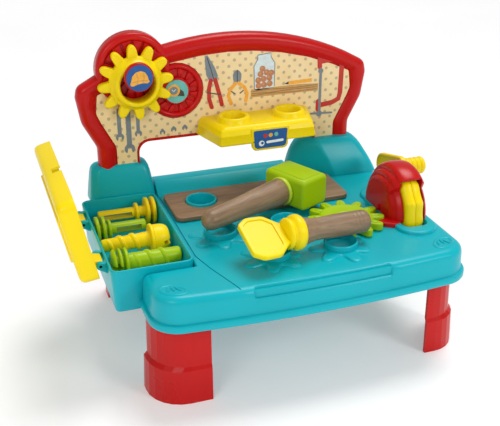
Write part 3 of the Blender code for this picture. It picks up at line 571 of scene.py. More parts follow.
def board_outline(inset, under):
    """Board edge moved inwards by inset; the underside of the arch moves by under."""
    def arch(half):
        return APEX_Z - ARCH_R + math.sqrt(ARCH_R ** 2 - half ** 2)
    corner = CORNER_HALF - inset
    pts = [(BOARD_X - FOOT_HALF + inset, FOOT_Z, 0), (BOARD_X - FOOT_INNER - under, FOOT_Z, 0),
           (BOARD_X - FOOT_INNER - under, UNDER_Z + under, 13 + under),
           (BOARD_X + FOOT_INNER + under, UNDER_Z + under, 13 + under),
           (BOARD_X + FOOT_INNER + under, FOOT_Z, 0), (BOARD_X + FOOT_HALF - inset, FOOT_Z, 0),
           (BOARD_X + FOOT_HALF - inset, NECK_Z, 16), (BOARD_X + WAIST_HALF - inset, WAIST_Z, 30),
           (BOARD_X + SHOULDER_HALF - inset, SHOULDER_Z - inset * 0.9, 12)]
    pts.append((BOARD_X + corner, arch(corner) - inset, max(12 - inset * 0.4, 2)))
    for i in range(21):
        x = corner * 0.86 * (1 - i / 10)
        pts.append((BOARD_X + x, arch(x) - inset, 0))
    pts.append((BOARD_X - corner, arch(corner) - inset, max(12 - inset * 0.4, 2)))
    pts += [(BOARD_X - SHOULDER_HALF + inset, SHOULDER_Z - inset * 0.9, 12),
            (BOARD_X - WAIST_HALF + inset, WAIST_Z, 30), (BOARD_X - FOOT_HALF + inset, NECK_Z, 16)]
    return fillet_path(pts, 7)


def board():
    section = ((9, 0, 115.5), (4.5, 0, 114.8), (1.6, 0, 112.6), (0.2, 0, 109), (0, 0, 105), (0.4, 0, 101.6),
               (1.7, 0, 98.6), (3.8, 0, 96.2), (6.6, 0.1, 94.9), (9.6, 0.2, 94.4), (12.6, 0.4, 94.7),
               (15.6, 0.7, 95.6), (18.4, 1.1, 97), (20.4, 1.6, 98.4), (21.2, 2, 99.6))
    make("board_tube", loft([on_y(board_outline(i, u), y) for i, u, y in section]), RED,
         ("backboard_frame",), sharp=50)
    paint("print_panel", CARD)


def rayed_disc(name, centre, outer, lip, hub, hub_y, rays, front):
    """Round moulding with a rolled rim, a sunk ring and raised rays across it."""
    floor, back = front + 4.6, 115.2
    section = ((outer - 3, back), (outer, back - 3), (outer, front + 3.6), (outer - 0.9, front + 1.5),
               (outer - 2.9, front + 0.2), (outer - lip * 0.5, front - 0.2), (outer - lip + 2, front + 0.3),
               (outer - lip + 0.6, front + 1.5), (outer - lip, front + 3.2), (outer - lip - 0.6, floor),
               (hub + 0.8, floor),
               (hub, hub_y + 1.6), (hub - 0.6, hub_y + 0.4), (hub - 1.8, hub_y), (0.3, hub_y))
    bm = loft([on_y(circle(*centre, r, 56), y) for r, y in section])
    make(name, bm, RED, sharp=45)
    ribs = bmesh.new()
    for i in range(rays):
        a = 360 * (i + 0.5) / rays
        inner, far = hub + 0.6, outer - lip + 0.6
        shape = [polar(*centre, r, a + d) for r, d in ((inner, -4), (far, -8.5), (far, 8.5), (inner, 4))]
        slab(shape, on_y, floor + 0.5, front + 1.4, 0.8, 2, bm=ribs, both=False)
    make(name + "_ribs", ribs, RED, sharp=45)


def stroke(points, width):
    """Outline of a line of the given width with round ends."""
    left, right = [], []
    for i, p in enumerate(points):
        a, b = Vector(points[max(i - 1, 0)]), Vector(points[min(i + 1, len(points) - 1)])
        along = (b - a).normalized()
        side = Vector((-along.y, along.x)) * width / 2
        left.append(tuple(Vector(p) + side))
        right.append(tuple(Vector(p) - side))
    def cap(i, j):
        along = (Vector(points[i]) - Vector(points[j])).normalized()
        turn = math.degrees(math.atan2(along.y, along.x))
        return arc(*points[i], width / 2, turn - 60, turn + 60, 4)
    return right + cap(-1, -2) + left[::-1] + cap(0, 1)


def strokes(lines):
    return [stroke(points, width) for points, width in lines]


def shifted(points, dx, dy, scale=1.0):
    return [(x * scale + dx, y * scale + dy) for x, y in points]


def prints(name, outlines, mat, y):
    """Thin printed shapes that face the front, one above another by the y they are given."""
    bm = bmesh.new()
    for i, outline in enumerate(outlines):
        loft([on_y(outline, y + 0.3), on_y(outline, y - 0.02 * (i % 4))], bm=bm)
    make(name, bm, mat)


def spanner(x, low, high, r):
    """Open-ended spanner hanging jaw down."""
    jaw = arc(x, low, r, -55, 235, 14)
    return [stroke(((x, low + r * 0.8), (x, high)), r * 0.95),
            jaw + [(x - r * 0.42, low - r * 0.5), (x - r * 0.34, low + r * 0.1),
                   (x + r * 0.34, low + r * 0.1),
                   (x + r * 0.42, low - r * 0.5)]]


def tool_pictures():
    y = PRINT_Y
    prints("picture_spanners", spanner(-130, 210, 244, 5) + spanner(-119, 194, 244, 6.4)
           + spanner(-107.5, 212, 244, 4.4) + spanner(-78, 210, 213, 3.4) + spanner(-64, 212, 213.4, 3.4)
           + spanner(-50, 212.5, 215, 3.4), GREY_INK, y)
    plier_jaw = shifted(((-9.5, 24), (-8.5, 29), (-6, 30), (-2, 23), (3, 14), (6.5, 4), (5, -3), (-4, -3),
                         (-8, 6)), -13.5, 270)
    cutter_jaw = shifted(((-5.5, 11), (-3, 15), (0, 17), (3, 15), (5.5, 11), (5, 4), (2.5, 0), (-2.5, 0),
                          (-5, 4)), 17.5, 262)
    prints("picture_jaws", [plier_jaw, cutter_jaw], GREY_INK, y)
    jaw_lines = ((((-20, 297), (-16, 284), (-12.5, 271)), 0.9), (((17.5, 278), (17.5, 264)), 0.9),
                 (((-21, 254), (-4, 250)), 1.3), (((10, 252.5), (14, 249)), 1.2), (((21, 249), (25, 252)), 1.2))
    prints("picture_jaw_lines", strokes(jaw_lines), DARK_INK, y - 0.2)
    plier_grips = ((((-16, 269), (-18.5, 258), (-18.5, 246), (-15.5, 235)), 5),
                   (((-10.5, 269), (-7.5, 258), (-4.5, 247), (-2.5, 237)), 5))
    prints("picture_plier_grips", strokes(plier_grips), RED_INK, y - 0.1)
    cutter_grips = ((((15.5, 262), (8.5, 255), (6, 247), (9.5, 237)), 4.2),
                    (((19.5, 262), (26.5, 256), (30, 248), (28.5, 239)), 4.2))
    prints("picture_cutter_grips", strokes(cutter_grips), ORANGE_INK, y - 0.1)
    jar = ((39, 250, 4), (66, 252, 4), (66.5, 283, 6), (61, 291, 1), (61, 296, 1), (44, 294.5, 1),
           (44, 289.5, 1), (38.5, 282, 6))
    prints("picture_jar", [fillet_path(jar, 4)], GLASS_INK, y)
    jar_edge = ((39.5, 252), (39, 281), (44, 289.5), (44, 294.5), (61, 296), (61, 291), (66, 283), (65.5, 254))
    prints("picture_jar_edge", [stroke(jar_edge, 1.0)], GREY_INK, y - 0.1)
    nuts = ((45, 256), (52, 256.5), (59.5, 257.5), (44.5, 263), (51.5, 264), (59, 265), (47.5, 270.5),
            (55.5, 272), (61.5, 271), (50, 277))
    prints("picture_nuts", [circle(x, z, 3.9, 14) for x, z in nuts], BROWN_INK, y - 0.1)
    prints("picture_nut_shine", [circle(x - 0.8, z + 1, 1.3, 10) for x, z in nuts], BOARD_INK, y - 0.2)
    prints("picture_board", [[(35, 242), (124, 242), (124.5, 251), (100, 252.6), (35, 252)]], BOARD_INK, y)
    grain = [(((36, z), (60, z + bend), (90, z - bend * 0.6), (122, z + 0.3)), 0.8)
             for z, bend in ((244.2, 0.9), (246.8, -0.8), (249.4, 0.7))]
    prints("picture_board_grain", strokes(grain), GRAIN_INK, y - 0.1)
    prints("picture_pencil", [[(85, 253.4), (115.5, 254.2), (115.5, 258.6), (85, 257.6)]], ORANGE_INK, y)
    prints("picture_pencil_tip", [[(79, 255), (84.4, 253.6), (84.4, 257.4)]], DARK_INK, y)
    clamp = ((128, 279), (145, 281), (154, 278), (156, 270), (155, 236), (153, 228), (144, 224), (127, 222))
    ends = (((125.5, 283), (126, 272)), 6), (((125.5, 227), (125.5, 217)), 7)
    prints("picture_clamp", strokes(((clamp, 6.4), *ends)), RED_INK, y)
    screw = (((127.5, 266), (127, 210)), 3.4), (((116, 212), (144, 210.5)), 2.6)
    prints("picture_clamp_screw", strokes(screw) + [circle(127, 211, 4, 16), circle(127.5, 267, 3.4, 16)],
           GREY_INK, y - 0.1)


def badge_pictures():
    y = 42.5
    prints("badge_dots", [circle(34, 211.5, 2.6, 20)], RED_INK, y)
    prints("badge_dot_yellow", [circle(41, 211.8, 2.6, 20)], ORANGE_INK, y)
    prints("badge_dot_green", [circle(48, 212.1, 2.6, 20)], SEA, y)
    prints("badge_marks", [circle(29.5, 202.4, 3.6, 24), stroke(((37, 203.2), (56, 204)), 3.2)],
           WHITE_INK, y)
    prints("badge_hub", [circle(30.4, 202.8, 1.7, 20)], BLUE, y - 0.15)


def peg_pictures():
    helmet = ((-12, -7), (-10.5, -3), (-9, 3), (-4.5, 7.4), (1, 8.8), (6.5, 7), (9.8, 2), (10.8, -3),
              (12.2, -5), (9.5, -7), (3, -6.4), (-3, -7.6), (-8, -9.4), (-11, -9))
    ribs = (((-4, 6), (-2, 0), (-3.5, -6.6)), ((5, 6.6), (5.5, 0), (3.5, -5.6)),
            ((-9.5, -4.5), (-3, -3.4), (4, -3), (10, -4.2)))
    y = 63.6
    prints("helmet_shape", [shifted(helmet, *LOBE, 0.94)], ORANGE_INK, y)
    prints("helmet_ribs", [stroke(shifted(rib, *LOBE, 0.94), 0.8) for rib in ribs], BOARD_INK, y - 0.15)
    dx, dz = DIAL
    prints("tape_reel", [ellipse(dx - 3.5, dz + 1.5, 7.6, 7.4)], ORANGE_INK, 94.0)
    case = shifted(((1.5, -5.5), (9.5, -6.5), (8.5, -1), (4.5, 2.5)), dx, dz)
    prints("tape_case", [case], DARK_INK, 94.05)
    prints("tape_middle", [ellipse(dx - 3.5, dz + 1.5, 5, 4.9)], GREY_INK, 93.85)
    prints("tape_marks", [stroke(((dx - 5.6, dz + 2.6), (dx - 3.6, dz + 0.4), (dx - 1.4, dz + 2.8)), 0.8)],
           WHITE_INK, 93.7)


def gear_shape(tip, root, teeth=12):
    pts = []
    for i in range(teeth):
        mid = 90 + i * 360 / teeth
        flank = ((-13.4, root - 0.6), (-11.6, root + 0.5), (-9.7, root + 3.6), (-8.2, root + 7),
                 (-6.6, tip - 3.6), (-4.6, tip - 1.5), (-2.3, tip - 0.3), (0, tip))
        for turn, r in flank + tuple((-a, r) for a, r in reversed(flank[:-1])):
            pts.append(polar(0, 0, r, mid + turn))
    return pts


def gear(name, node, mat, body, turn, spot, flat):
    """Gear with rounded teeth; the wall gear has a raised, open hub, the loose one a nearly flat face."""
    rotation = turned(turn, "Z")
    if not flat:
        rotation = turned(90, "X") @ rotation
    teeth = slab(gear_shape(44.6, 31), on_z, 0, 9, 1.9, 4)
    bore_r = 9 if flat else 21.5
    bore = hole(on_z, circle(0, 0, bore_r), -2, 12)
    make(name + "_teeth", placed(teeth, rotation, spot), mat, (node,), body, 40,
         (placed(bore, rotation, spot),))
    if flat:
        face = ((9.2, 8.5), (9.6, 9.2), (11, 9.7), (14, 9.2), (16, 9.1), (24, 9.4), (26, 10.0), (28, 10.2),
                (29.6, 9.7), (30.6, 8.6))
    else:
        face = ((20.4, 0.6), (21, 0), (27, 0), (31.6, 4), (31.8, 8.4), (31, 9.6), (29.4, 10.9), (28, 12.8),
                (26.8, 15.6), (25.8, 18), (24.6, 19.2), (23, 19.5), (21.6, 19), (20.6, 17.8), (20.4, 16))
    make(name + "_hub", placed(revolve(face, (0, 0)), rotation, spot), mat, (), body, 45)
    if flat:
        bumps = bmesh.new()
        for i in range(12):
            a = 30 * i
            x, y = polar(0, 0, 33, a)
            loft([on_z(ellipse(x, y, 5.2 - d, 2.6 - d, a, 20), 9 + z) for d, z in
                  ((0, -0.6), (0.3, 0.4), (1.2, 0.9))], bm=bumps)
        make(name + "_bumps", placed(bumps, rotation, spot), mat, (), body)


def wall_gear():
    face, floor = 64.8, 101.2
    length = floor - face
    profile = ((0, 12), (3, 12), (4.4, 10.5), (6, 8.6), (8, 8), (length - 8.6, 8), (length - 7.6, 9),
               (length - 7.2, 15),
               (length - 6.7, 16.3), (length - 5.6, 17), (length - 1.8, 17), (length - 0.7, 16.7),
               (length - 0.1, 15.9),
               (length, 15.2))
    make("gear_peg_post", placed(lathe(profile, 56), turned(-90, "Z"), (LOBE[0], floor, LOBE[1])), RED,
         ("gear_peg",), sharp=45)
    gear("wall_gear", "yellow_gear", YELLOW, "wall_gear", 4, (LOBE[0], 92.8, LOBE[1] - 12.1), False)


# ---- shelf -------------------------------------------------------------------------------

def shelf():
    mid, low, high = 39.0, 204.4, 224.5

    def ring(inset, z):
        pts = ((mid - 72 + inset, 97.6, 1), (mid - 58 + inset, 46 + inset, 4),
               (mid + 58 - inset, 46 + inset, 4), (mid + 72 - inset, 97.6, 1))
        return on_z(fillet_path(pts, 4), z)
    rings = [ring(d, z) for d, z in ((-1.2, low - 1.6), (-2.2, low - 1.2), (-2.8, low - 0.2), (-2.8, low + 1),
                                     (-1.2, low + 9.6), (-1.5, low + 10.4), (-1.0, low + 11),
                                     (0.2, high - 4.2), (1.2, high - 3), (3.8, high - 0.8), (5, high - 0.2),
                                     (6.4, high))]
    bores = bmesh.new()
    for x in SHELF_HOLES:
        hole(on_z, circle(x, 75, 14.2), 200, 230, bores)
    make("shelf_body", loft(rings), YELLOW, ("shelf",), sharp=45, cuts=(bores,))
    section = ((21.8, high - 0.5), (21.2, high + 0.8), (20.3, high + 2), (19.8, high + 3.6),
               (18.9, high + 5.3),
               (17.4, high + 6.4), (15.8, high + 6.4), (14.3, high + 5.5), (13.4, high + 3.8),
               (13.3, low + 0.5),
               (15.0, low + 0.3), (15.6, high - 0.5))
    for i, x in enumerate(SHELF_HOLES, 1):
        make("shelf_collar_%d" % i, revolve(section, (x, 75)), YELLOW, sharp=60)
    badge = fillet_path(((16.6, 221.5, 3), (18.6, 193, 6), (63.4, 193, 6), (65.4, 221.5, 3)), 6)
    make("badge", slab(badge, on_y, 49, 43.2, 1.3, 4), YELLOW, sharp=50)
    label = fillet_path(((19.6, 218.6, 2), (21.2, 196, 4.5), (60.8, 196, 4.5), (62.4, 218.6, 2)), 6)
    make("badge_label", loft([on_y(label, 43.3), on_y(label, 42.6)]), BLUE, ("shelf_label",))


# ---- loose toys --------------------------------------------------------------------------

def local_piece(name, bm, mat, body, spot, rotation, nodes=(), cuts=(), sharp=45, bevel=0.0):
    """A piece whose own axes follow its shape, so that grain runs along it. bm is built round zero."""
    bmesh.ops.translate(bm, verts=bm.verts, vec=-DATUM * MM)
    for cut in cuts:
        bmesh.ops.translate(cut, verts=cut.verts, vec=-DATUM * MM)
    obj = make(name, bm, mat, nodes, body, sharp, cuts, bevel=bevel)
    obj.matrix_world = Matrix.Translation(vec(*spot)) @ rotation.to_4x4()
    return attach(obj, body)


def plank():
    outline = rounded_rect(-108, 108, -36.75, 36.75, 9, 8)
    holes = bmesh.new()
    for x, y in SOCKETS[:2]:
        hole(on_z, circle(x - 20, y - 36.75, 19.5), -4, 10, holes)
    local_piece("wooden_strip", slab(outline, on_z, 0.0, 5.7, 1.4, 4), PLANK, "board_strip",
                (20, 36.75, TOP + PLAY_GAP), LEVEL, ("plank",), cuts=(holes,))


def hammer():
    turn = turned(205.5, "Z")
    spot = (59.4, 5.4, 159.15)
    half, tall, long = 21.5, 18.85, 31.5
    rings = []
    for k in range(13):
        t = math.radians(-90 + 15 * k)
        d = 5 * (1 - math.cos(t))
        y = (long - 5) * (1 if k > 6 else -1) + 5 * math.sin(t)
        rings.append(on_y(rounded_rect(-half + d, half - d, -tall + d, tall - d, 6 - 0.5 * d, 7), y))
    local_piece("mallet_head", loft(rings), LIME, "hammer", spot, turn, ("hammer_head",), sharp=50)
    pad = slab(rounded_rect(-15.5, 15.5, -25, 25, 3, 5), on_z, tall - 1.5, tall + 0.55, 0.5, 3, both=False)
    local_piece("mallet_pad", pad, LIME, "hammer", spot, turn)
    neck = ((-3, 15.5), (1.2, 15.5), (1.8, 16.8), (2.6, 17.2), (4.8, 17.2), (5.8, 16.6), (6.4, 14))
    local_piece("mallet_neck", lathe([(half + a, r) for a, r in neck]), PALE_LIME, "hammer", spot, turn)
    grip = [(5.6, 14.5), (6.2, 15.4), (7.4, 15.9), (20, 15.6), (45, 14.3), (75, 12.7), (105, 11.8),
            (114, 11.6)]
    grip += [(114 + x, r) for r, x in (polar(0, 0, 11.6, a) for a in (15, 30, 45, 58, 70, 80, 89))]
    local_piece("mallet_handle", lathe([(half + a, r) for a, r in grip], 56), HANDLE, "hammer", spot, turn,
                ("hammer_handle",), sharp=60)


def screwdriver():
    turn = turned(7.6, "Z") @ turned(3.4, "Y")
    spot = (-48.6, -124.4, 165.5)
    tilt = turn @ turned(22, "X")
    outline = fillet_path(((0, -21, 6), (11, -28.5, 9), (31, -28, 11), (45, -15, 8), (55, -11, 2),
                           (55, 11, 2), (45, 15, 8), (31, 28, 11), (11, 28.5, 9), (0, 21, 6)), 6)
    face = fillet_path(((4.5, -18, 5), (13, -24, 6), (29, -23.6, 8), (38, -15, 4), (38, 15, 4), (29, 23.6, 8),
                        (13, 24, 6), (4.5, 18, 5)), 6)
    dish = slab(face, on_z, 1.7, 6, 0.1, 1)
    under = slab(face, on_z, -6, -1.7, 0.1, 1)
    local_piece("driver_blade", slab(outline, on_z, -3.2, 3.2, 1.5, 4), YELLOW, "screwdriver", spot, tilt,
                ("screwdriver_blade",), cuts=(dish, under), bevel=0.5)
    collar = ((46, 5), (46.2, 11), (46.6, 14.2), (47.6, 16.2), (49.2, 17.1), (50.8, 17), (52.2, 16),
              (53, 15.2), (53.8, 15.4), (55, 17.6), (56.6, 19), (58.6, 19.5), (61.4, 19.5), (63.6, 18.8),
              (65.4, 17.6), (66.2, 16), (66.3, 8))
    local_piece("driver_ferrule", lathe(collar, 64), YELLOW, "screwdriver", spot, turn, sharp=50)
    grip = [(65.6, 14.2), (66.2, 15), (67.6, 15.3), (70, 14.9), (75, 13.5), (81, 12.4), (88, 12), (97, 12.3),
            (108, 12.8), (128, 12.9)]
    for start in (128, 133, 138):
        grip += [(start + 1.0, 12.8), (start + 1.6, 12.5), (start + 2.2, 12.8), (start + 3.4, 12.8)]
    grip += [(143.4 + 7.3 * math.sin(math.radians(a)), 5.4 + 7.3 * math.cos(math.radians(a)))
             for a in (10, 25, 40, 55, 70, 85)] + [(151, 3)]
    local_piece("driver_handle", lathe(grip, 64), HANDLE, "screwdriver", spot, turn,
                ("screwdriver_handle",), sharp=60)


# ---- bin and lid -------------------------------------------------------------------------

def tool_bin():
    def ring(d, z):
        return on_z(rounded_rect(-185 + d, -96 - d, -102.4 + d, 83.4 - d, max(9 - d, 3.5), 8), z)
    rings = [ring(d, z) for d, z in ((5.2, 110.2), (6.8, 91.2), (6.2, 90.9), (4.2, 91), (3.3, 92.4),
                                     (0.1, 139.6), (0.2, 140.5), (0.9, 141), (1.9, 141), (2.6, 140.5),
                                     (2.9, 139.6), (4.3, 117), (5.2, 114.2), (7.4, 113.1))]
    make("bin_shell", loft(rings), TEAL, ("tool_bin",), sharp=50)
    hx, hz = HINGE
    lugs = bmesh.new()
    for y in HINGE_Y:
        for side in (-1, 1):
            shape = arc(hx, hz, 4.4, 60, 250, 8) + [(hx + 7, hz - 9), (hx + 7, hz + 3.6)]
            slab(shape, on_y, y + side * 13 - 2.5, y + side * 13 + 2.5, 0.5, 2, bm=lugs)
    make("hinge_lugs", lugs, TEAL)
    for i, y in enumerate(HINGE_Y, 1):
        pin = slab(circle(hx, hz, 2, 24), on_y, y - 15.5, y + 15.5, 0.4, 2)
        make("hinge_pin_%d" % i, pin, TEAL, ("lid_pin_%d" % i,))


def lid():
    """Drawn shut over the bin, then swung open about its pins."""
    hx, hz = HINGE
    rim, top = 141.3, 161.3
    u0, u1, y0, y1 = hx - 4, hx + 92, -101, 82
    swing = (Matrix.Translation(vec(hx, 0, hz)) @ Matrix.Rotation(math.radians(-LID_OPEN), 4, "Y")
             @ Matrix.Translation(-vec(hx, 0, hz)))

    def ring(d, z):
        return on_z(rounded_rect(u0 + d, u1 - d, y0 + d, y1 - d, max(11 - d * 0.8, 3), 8), z)
    rings = [ring(d, z) for d, z in ((9, top), (5.6, top - 0.3), (3.2, top - 1.4), (1.6, top - 3.4),
                                     (0.8, top - 6), (0.1, rim + 1), (0.3, rim + 0.3), (0.9, rim), (1.9, rim),
                                     (2.5, rim + 0.4), (3, top - 6.4), (4, top - 4), (6.4, top - 2.6))]
    notch = slab(rounded_rect(u1 - 7, u1 + 12, -17, -5, 2.5, 4), on_z, rim - 3, rim + 10, 0.1, 1)
    make("lid_shell", loft(rings), YELLOW, ("bin_lid",), "lid", 45, (notch,), swing)
    panel = slab(rounded_rect(u0 + 14, u1 - 26, -74, 55, 10, 8), on_z, top - 2, top + 2.3, 1.6, 4,
                 both=False)
    hollow = slab(rounded_rect(u0 + 24, u1 - 36, -60, 41, 7, 8), on_z, top + 0.6, top + 6, 0.6, 2)
    make("lid_panel", panel, YELLOW, (), "lid", 45, (hollow,), swing)
    eyes = bmesh.new()
    for y in HINGE_Y:
        shape = arc(hx, hz, 4.2, 90, 300, 12)
        shape += [(hx + 6, rim + 0.5), (hx + 6, rim + 8), (hx - 2.2, rim + 8)]
        slab(shape, on_y, y - 10, y + 10, 0.5, 2, bm=eyes)
    make("lid_knuckles", eyes, YELLOW, (), "lid", swing=swing)


# ---- pegs in the bin ---------------------------------------------------------------------

def rounded_disc(mid, half, r, core):
    """Stations of a disc with a rounded rim on a core."""
    return [(mid - half, core), (mid - half, r - 0.9), (mid - half + 0.25, r - 0.25), (mid - half + 0.9, r),
            (mid + half - 0.9, r), (mid + half - 0.25, r - 0.25), (mid + half, r - 0.9), (mid + half, core)]


def peg(node, mat, x, y, r_max, profile, slot, thread=None):
    """A peg lying on the bin's floor, its slot cut through it; slot is (from, to, half width)."""
    name, body, spot = node + "_toy", node + "_body", (x, y, BIN_FLOOR + r_max)
    start, stop, half = slot
    cut = slab(rounded_rect(start, stop, -20, 20, 3, 5), on_z, -half, half, 0.3, 2)
    local_piece(name, lathe(profile), mat, body, spot, LEVEL, (node,), cuts=(cut,), sharp=50)
    if thread:
        local_piece(name + "_thread", helix(*thread), mat, body, spot, LEVEL, sharp=60)


def helix(start, stop, pitch, r_start, r_stop, rise):
    """Rounded coarse thread winding round the X axis."""
    steps = int((stop - start) / pitch * 24)
    rings = []
    for i in range(steps + 1):
        t = i / steps
        a, x = math.radians(15 * i), start + (stop - start) * t
        fade = min(1.0, t * 6, (1 - t) * 6)
        r = r_start + (r_stop - r_start) * t
        rings.append([(x + dx, (r + dr * fade) * math.cos(a), (r + dr * fade) * math.sin(a)) for dx, dr in
                      ((-4.4, -1.2), (-3.6, 0.1 * rise), (-1.6, 0.8 * rise), (0, rise), (1.6, 0.85 * rise),
                       (2.6, -1.2))])
    return loft(rings)


def nails():
    yellow_discs = ((46, 1.8, 11), (58.5, 1.9, 16), (66, 1.9, 16))
    green_discs = ((3.5, 1.9, 16), (10.5, 1.9, 16), (17.5, 1.8, 11))
    for name, mat, x, y, discs, span, slot in (
            ("yellow_nail", YELLOW, -170, 57, yellow_discs, (0, 69.5), (6, 40, 3.2)),
            ("green_nail", LIME, -180.7, 22, green_discs, (0, 60), (25, 54, 3.2))):
        core = 6.5
        profile = [(span[0], core - 2), (span[0] + 0.6, core - 0.7), (span[0] + 2, core)]
        for mid, half, r in discs:
            profile += rounded_disc(mid, half, r, core)
        profile += [(span[1] - 2, core), (span[1] - 0.6, core - 0.7), (span[1], core - 2)]
        peg(name, mat, x, y, 16, profile, slot)


def toy_screws():
    screw = [(0, 5), (0.6, 6.2), (2, 7), (50, 8.8), (54, 9.6)]
    screw += [(54.4, 16), (54.7, 17), (55.4, 17.5), (57, 17.5), (57.8, 17.1), (58.2, 16.2), (58.8, 15.6),
              (62, 15.9), (68, 15.6), (72, 14.6), (74.6, 12.8), (75.8, 10.6), (76, 8)]
    peg("yellow_screw", YELLOW, -180.7, -21, 17.5, screw, (68, 82, 2.6), (4, 50, 14, 6.6, 8.8, 1.9))
    bolt = [(0, 7), (0.4, 10.6), (1.6, 13.6), (3.2, 15.2), (4.4, 15.4), (5.2, 14.6), (5.5, 12.5), (5.7, 9),
            (8.3, 9), (8.5, 14.4), (9, 15.5), (10, 15.8), (11, 15.5), (11.5, 14.4), (11.7, 9), (14.3, 9),
            (14.5, 14.6), (15.1, 15.6), (16.4, 15.8), (17.6, 15.5), (18.2, 14.4), (18.4, 8.9), (30, 9),
            (74, 8.6), (76, 7.6), (76.5, 6)]
    peg("green_screw", LIME, -178, -62, 15.8, bolt, (-6, 11, 3.2), (22, 70, 15, 8.6, 8.6, 1.9))


# ---- saw ---------------------------------------------------------------------------------

def saw():
    ay, az = AXLE
    base = TOP + 4.3

    def side(stepped, smooth_r, x):
        """The rear of the cheek is stepped; towards the front the steps fade into one smooth dome."""
        pts, low = [], math.degrees(math.asin((base - az) / stepped))
        for i in range(41):
            a = low + (128 - low) * i / 40
            r = stepped + (smooth_r - stepped) * smooth((a - 88) / 36)
            pts.append(polar(ay, az, r, a))
        front_r = smooth_r * 0.82
        pts += arc(ay, az, front_r, 131, 180 + math.degrees(math.asin((az - base) / front_r)), 14)
        return on_x(pts, x)
    layers = ((30, 30, 142.2), (33, 33, 142.3), (35.6, 36, 142.9), (37.2, 38.4, 144.2), (37.8, 40.6, 146.6),
              (41.4, 41.1, 146.9), (43, 43.2, 148), (44, 45, 149.8), (44.4, 46.9, 152.6), (47.4, 47.2, 152.9),
              (49, 48.7, 154), (50.4, 49.9, 156), (51.3, 51, 158.6), (51.9, 51.8, 163), (52, 52, 170),
              (51.4, 51.4, 177), (50, 50, 180.6), (47.6, 47.6, 183), (45, 45, 184))
    inside = (153.9, 180.6)
    inner = arc(ay, az, 48.6, -20, 200, 48)
    hollow = hole(on_x, inner, *inside)
    mouth_outline = [(ay - 90, base - 9), (ay - 90, az + 60), (ay - 30, az + 60), (ay - 20, az),
                     (ay - 20, base - 9)]
    mouth = hole(on_x, mouth_outline, *inside)
    make("saw_hood", loft([side(*layer) for layer in layers]), RED, ("saw_guard",), sharp=40,
         cuts=(hollow, mouth))
    skirt = fillet_path(((128, -82, 4), (142, -92, 5), (153, -88, 2), (153, -60, 1), (133, -62, 5)), 4)
    make("saw_hood_foot", slab(skirt, on_z, TOP + 0.2, TOP + 5.5, 1.6, 4, both=False), RED)
    middle = 167.25
    for name, x0, x1 in (("left", 155.5, middle - 0.25), ("right", 179.0, middle + 0.25)):
        step = 1 if x1 > x0 else -1
        rings = [on_x(wheel_outline(ay, az, r), x0 + step * d) for r, d in
                 ((39.5, 0), (41.5, 0.2), (43.4, 1), (45, 2.4), (46.2, 4.4), (46.9, 7.4), (47, 10.6),
                  (46.4, 11.5))]
        make("saw_wheel_half_%s" % name, loft(rings), YELLOW, ("saw_wheel_%s" % name,), "saw_blade", 40)
    axle = ((139.6, 2.6), (139.8, 3.4), (140.6, 3.6), (141.6, 3.6), (141.6, 3), (191.8, 3), (192.5, 2.4))
    make("saw_axle_rod", placed(lathe(axle, 32), LEVEL, (0, ay, az)), RED, ("saw_axle",))


def wheel_outline(ay, az, r):
    """Twelve flats between rounded corners."""
    out = []
    for i in range(144):
        a = 2.5 * i
        dip = 2.6 * (math.sqrt(math.cos(math.radians(6 * (a - 22))) ** 2 + 0.01) - 0.1)
        out.append(polar(ay, az, r - dip, a))
    return out


def saw_lever():
    ay, az = AXLE
    outline = (arc(ay, az, 7.4, 150, 300, 14) + arc(29, 158, 16, -50, 84, 18)
               + arc(-13, 171.5, 14, 84, 150, 12))
    recess = slab(grow(outline, -2.6), on_x, 183, 187.2, 0.4, 2)
    make("lever_arm", slab(outline, on_x, 185.1, 191, 1.2, 3), YELLOW, ("saw_lever",), "lever",
         cuts=(recess,))
    rib = [(190, 9.4)]
    for i in range(4):
        rib += [(193 + i * 6, 9.5), (193.8 + i * 6, 10.2), (195.4 + i * 6, 10.6), (197.4 + i * 6, 10.4),
                (198.4 + i * 6, 9.7)]
    rib += [(217, 9.4), (218, 8), (218.5, 6)]
    make("lever_grip", placed(lathe(rib), LEVEL, (0, -13, 171.5)), YELLOW, (), "lever", 60)


# ---- stage -------------------------------------------------------------------------------

AZIMUTH, ELEVATION, DISTANCE, LENS = -19.1, 25.4, 1.06, 64.8


def camera():
    az, el = math.radians(AZIMUTH), math.radians(ELEVATION)
    back = Vector((math.sin(az) * math.cos(el), -math.cos(az) * math.cos(el), math.sin(el)))
    data = bpy.data.cameras.new("camera")
    data.sensor_width, data.lens = 36, LENS
    data.clip_start, data.clip_end = 0.05, 60
    obj = add_object("camera", data)
    obj.location = vec(0, 0, TOP) + back * DISTANCE
    obj.rotation_euler = (-back).to_track_quat("-Z", "Y").to_euler()
    bpy.context.scene.camera = obj


def lamp(name, spot, size, power):
    """Round soft light aimed at the middle of the bench."""
    data = bpy.data.lights.new(name, "AREA")
    data.shape, data.size, data.energy = "DISK", size, power
    obj = add_object(name, data)
    obj.location = spot
    obj.rotation_euler = (Vector((0, 0, 0.15)) - Vector(spot)).to_track_quat("-Z", "Y").to_euler()


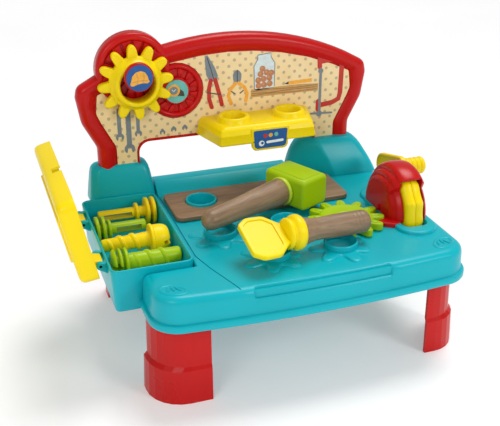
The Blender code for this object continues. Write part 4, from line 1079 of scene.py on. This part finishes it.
def stage():
    bm = bmesh.new()
    bmesh.ops.create_circle(bm, cap_ends=True, segments=64, radius=14)
    floor = mesh_object("floor", bm)
    n = Nodes("pale_floor")
    n.join(n.ramp(n.noise(2.0), ((0.3, (0.78, 0.78, 0.78, 1)), (0.7, (0.82, 0.82, 0.82, 1)))), "Base Color")
    n.put("Roughness", 0.9)
    n.put("Specular IOR Level", 0.1)
    n.put("Emission Color", (1, 1, 1, 1))
    n.put("Emission Strength", 0.22)
    floor.data.materials.append(n.mat)
    world = bpy.data.worlds.new("studio")
    bpy.context.scene.world = world
    world.use_nodes = True
    sky = world.node_tree.nodes["Background"].inputs
    sky["Color"].default_value, sky["Strength"].default_value = (1, 1, 1, 1), 0.42
    sun = bpy.data.lights.new("high_key", "SUN")
    sun.energy, sun.angle = 1.7, math.radians(28)
    key = add_object("high_key", sun)
    key.rotation_euler = Vector((-0.30, -0.28, -1.0)).to_track_quat("-Z", "Y").to_euler()
    lamp("front_left", (-1.1, -1.2, 1.1), 0.8, 7)
    lamp("front_right", (1.0, -1.5, 1.1), 0.6, 10)
    bpy.context.scene.view_settings.view_transform = "Standard"


def screws():
    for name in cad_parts:
        if name.endswith("_screw") or name.startswith("shelf_screw"):
            paint(name, STEEL)


table()
sockets()
splats()
table_trim()
pedestal("pedestal_left", "left_pedestal", -172, -92, 84.3, 6, LEFT_HUMP)
pedestal("pedestal_right", "right_pedestal", 84, 198.6, 68, 15, RIGHT_HUMP)
legs()
board()
rayed_disc("gear_lobe", LOBE, 44, 9.5, 12, 95.6, 16, 94.7)
rayed_disc("dial", DIAL, 34, 7.5, 17, 95.0, 12, 95.2)
wall_gear()
tool_pictures()
peg_pictures()
shelf()
badge_pictures()
plank()
hammer()
gear("floor_gear", "green_gear", LIME, "loose_gear", 15.3, (95, -61.5, TOP + PLAY_GAP), True)
screwdriver()
tool_bin()
lid()
nails()
toy_screws()
saw()
saw_lever()
screws()
paint("helmet_label", BLUE)
paint("tape_label", SEA)
camera()
stage()
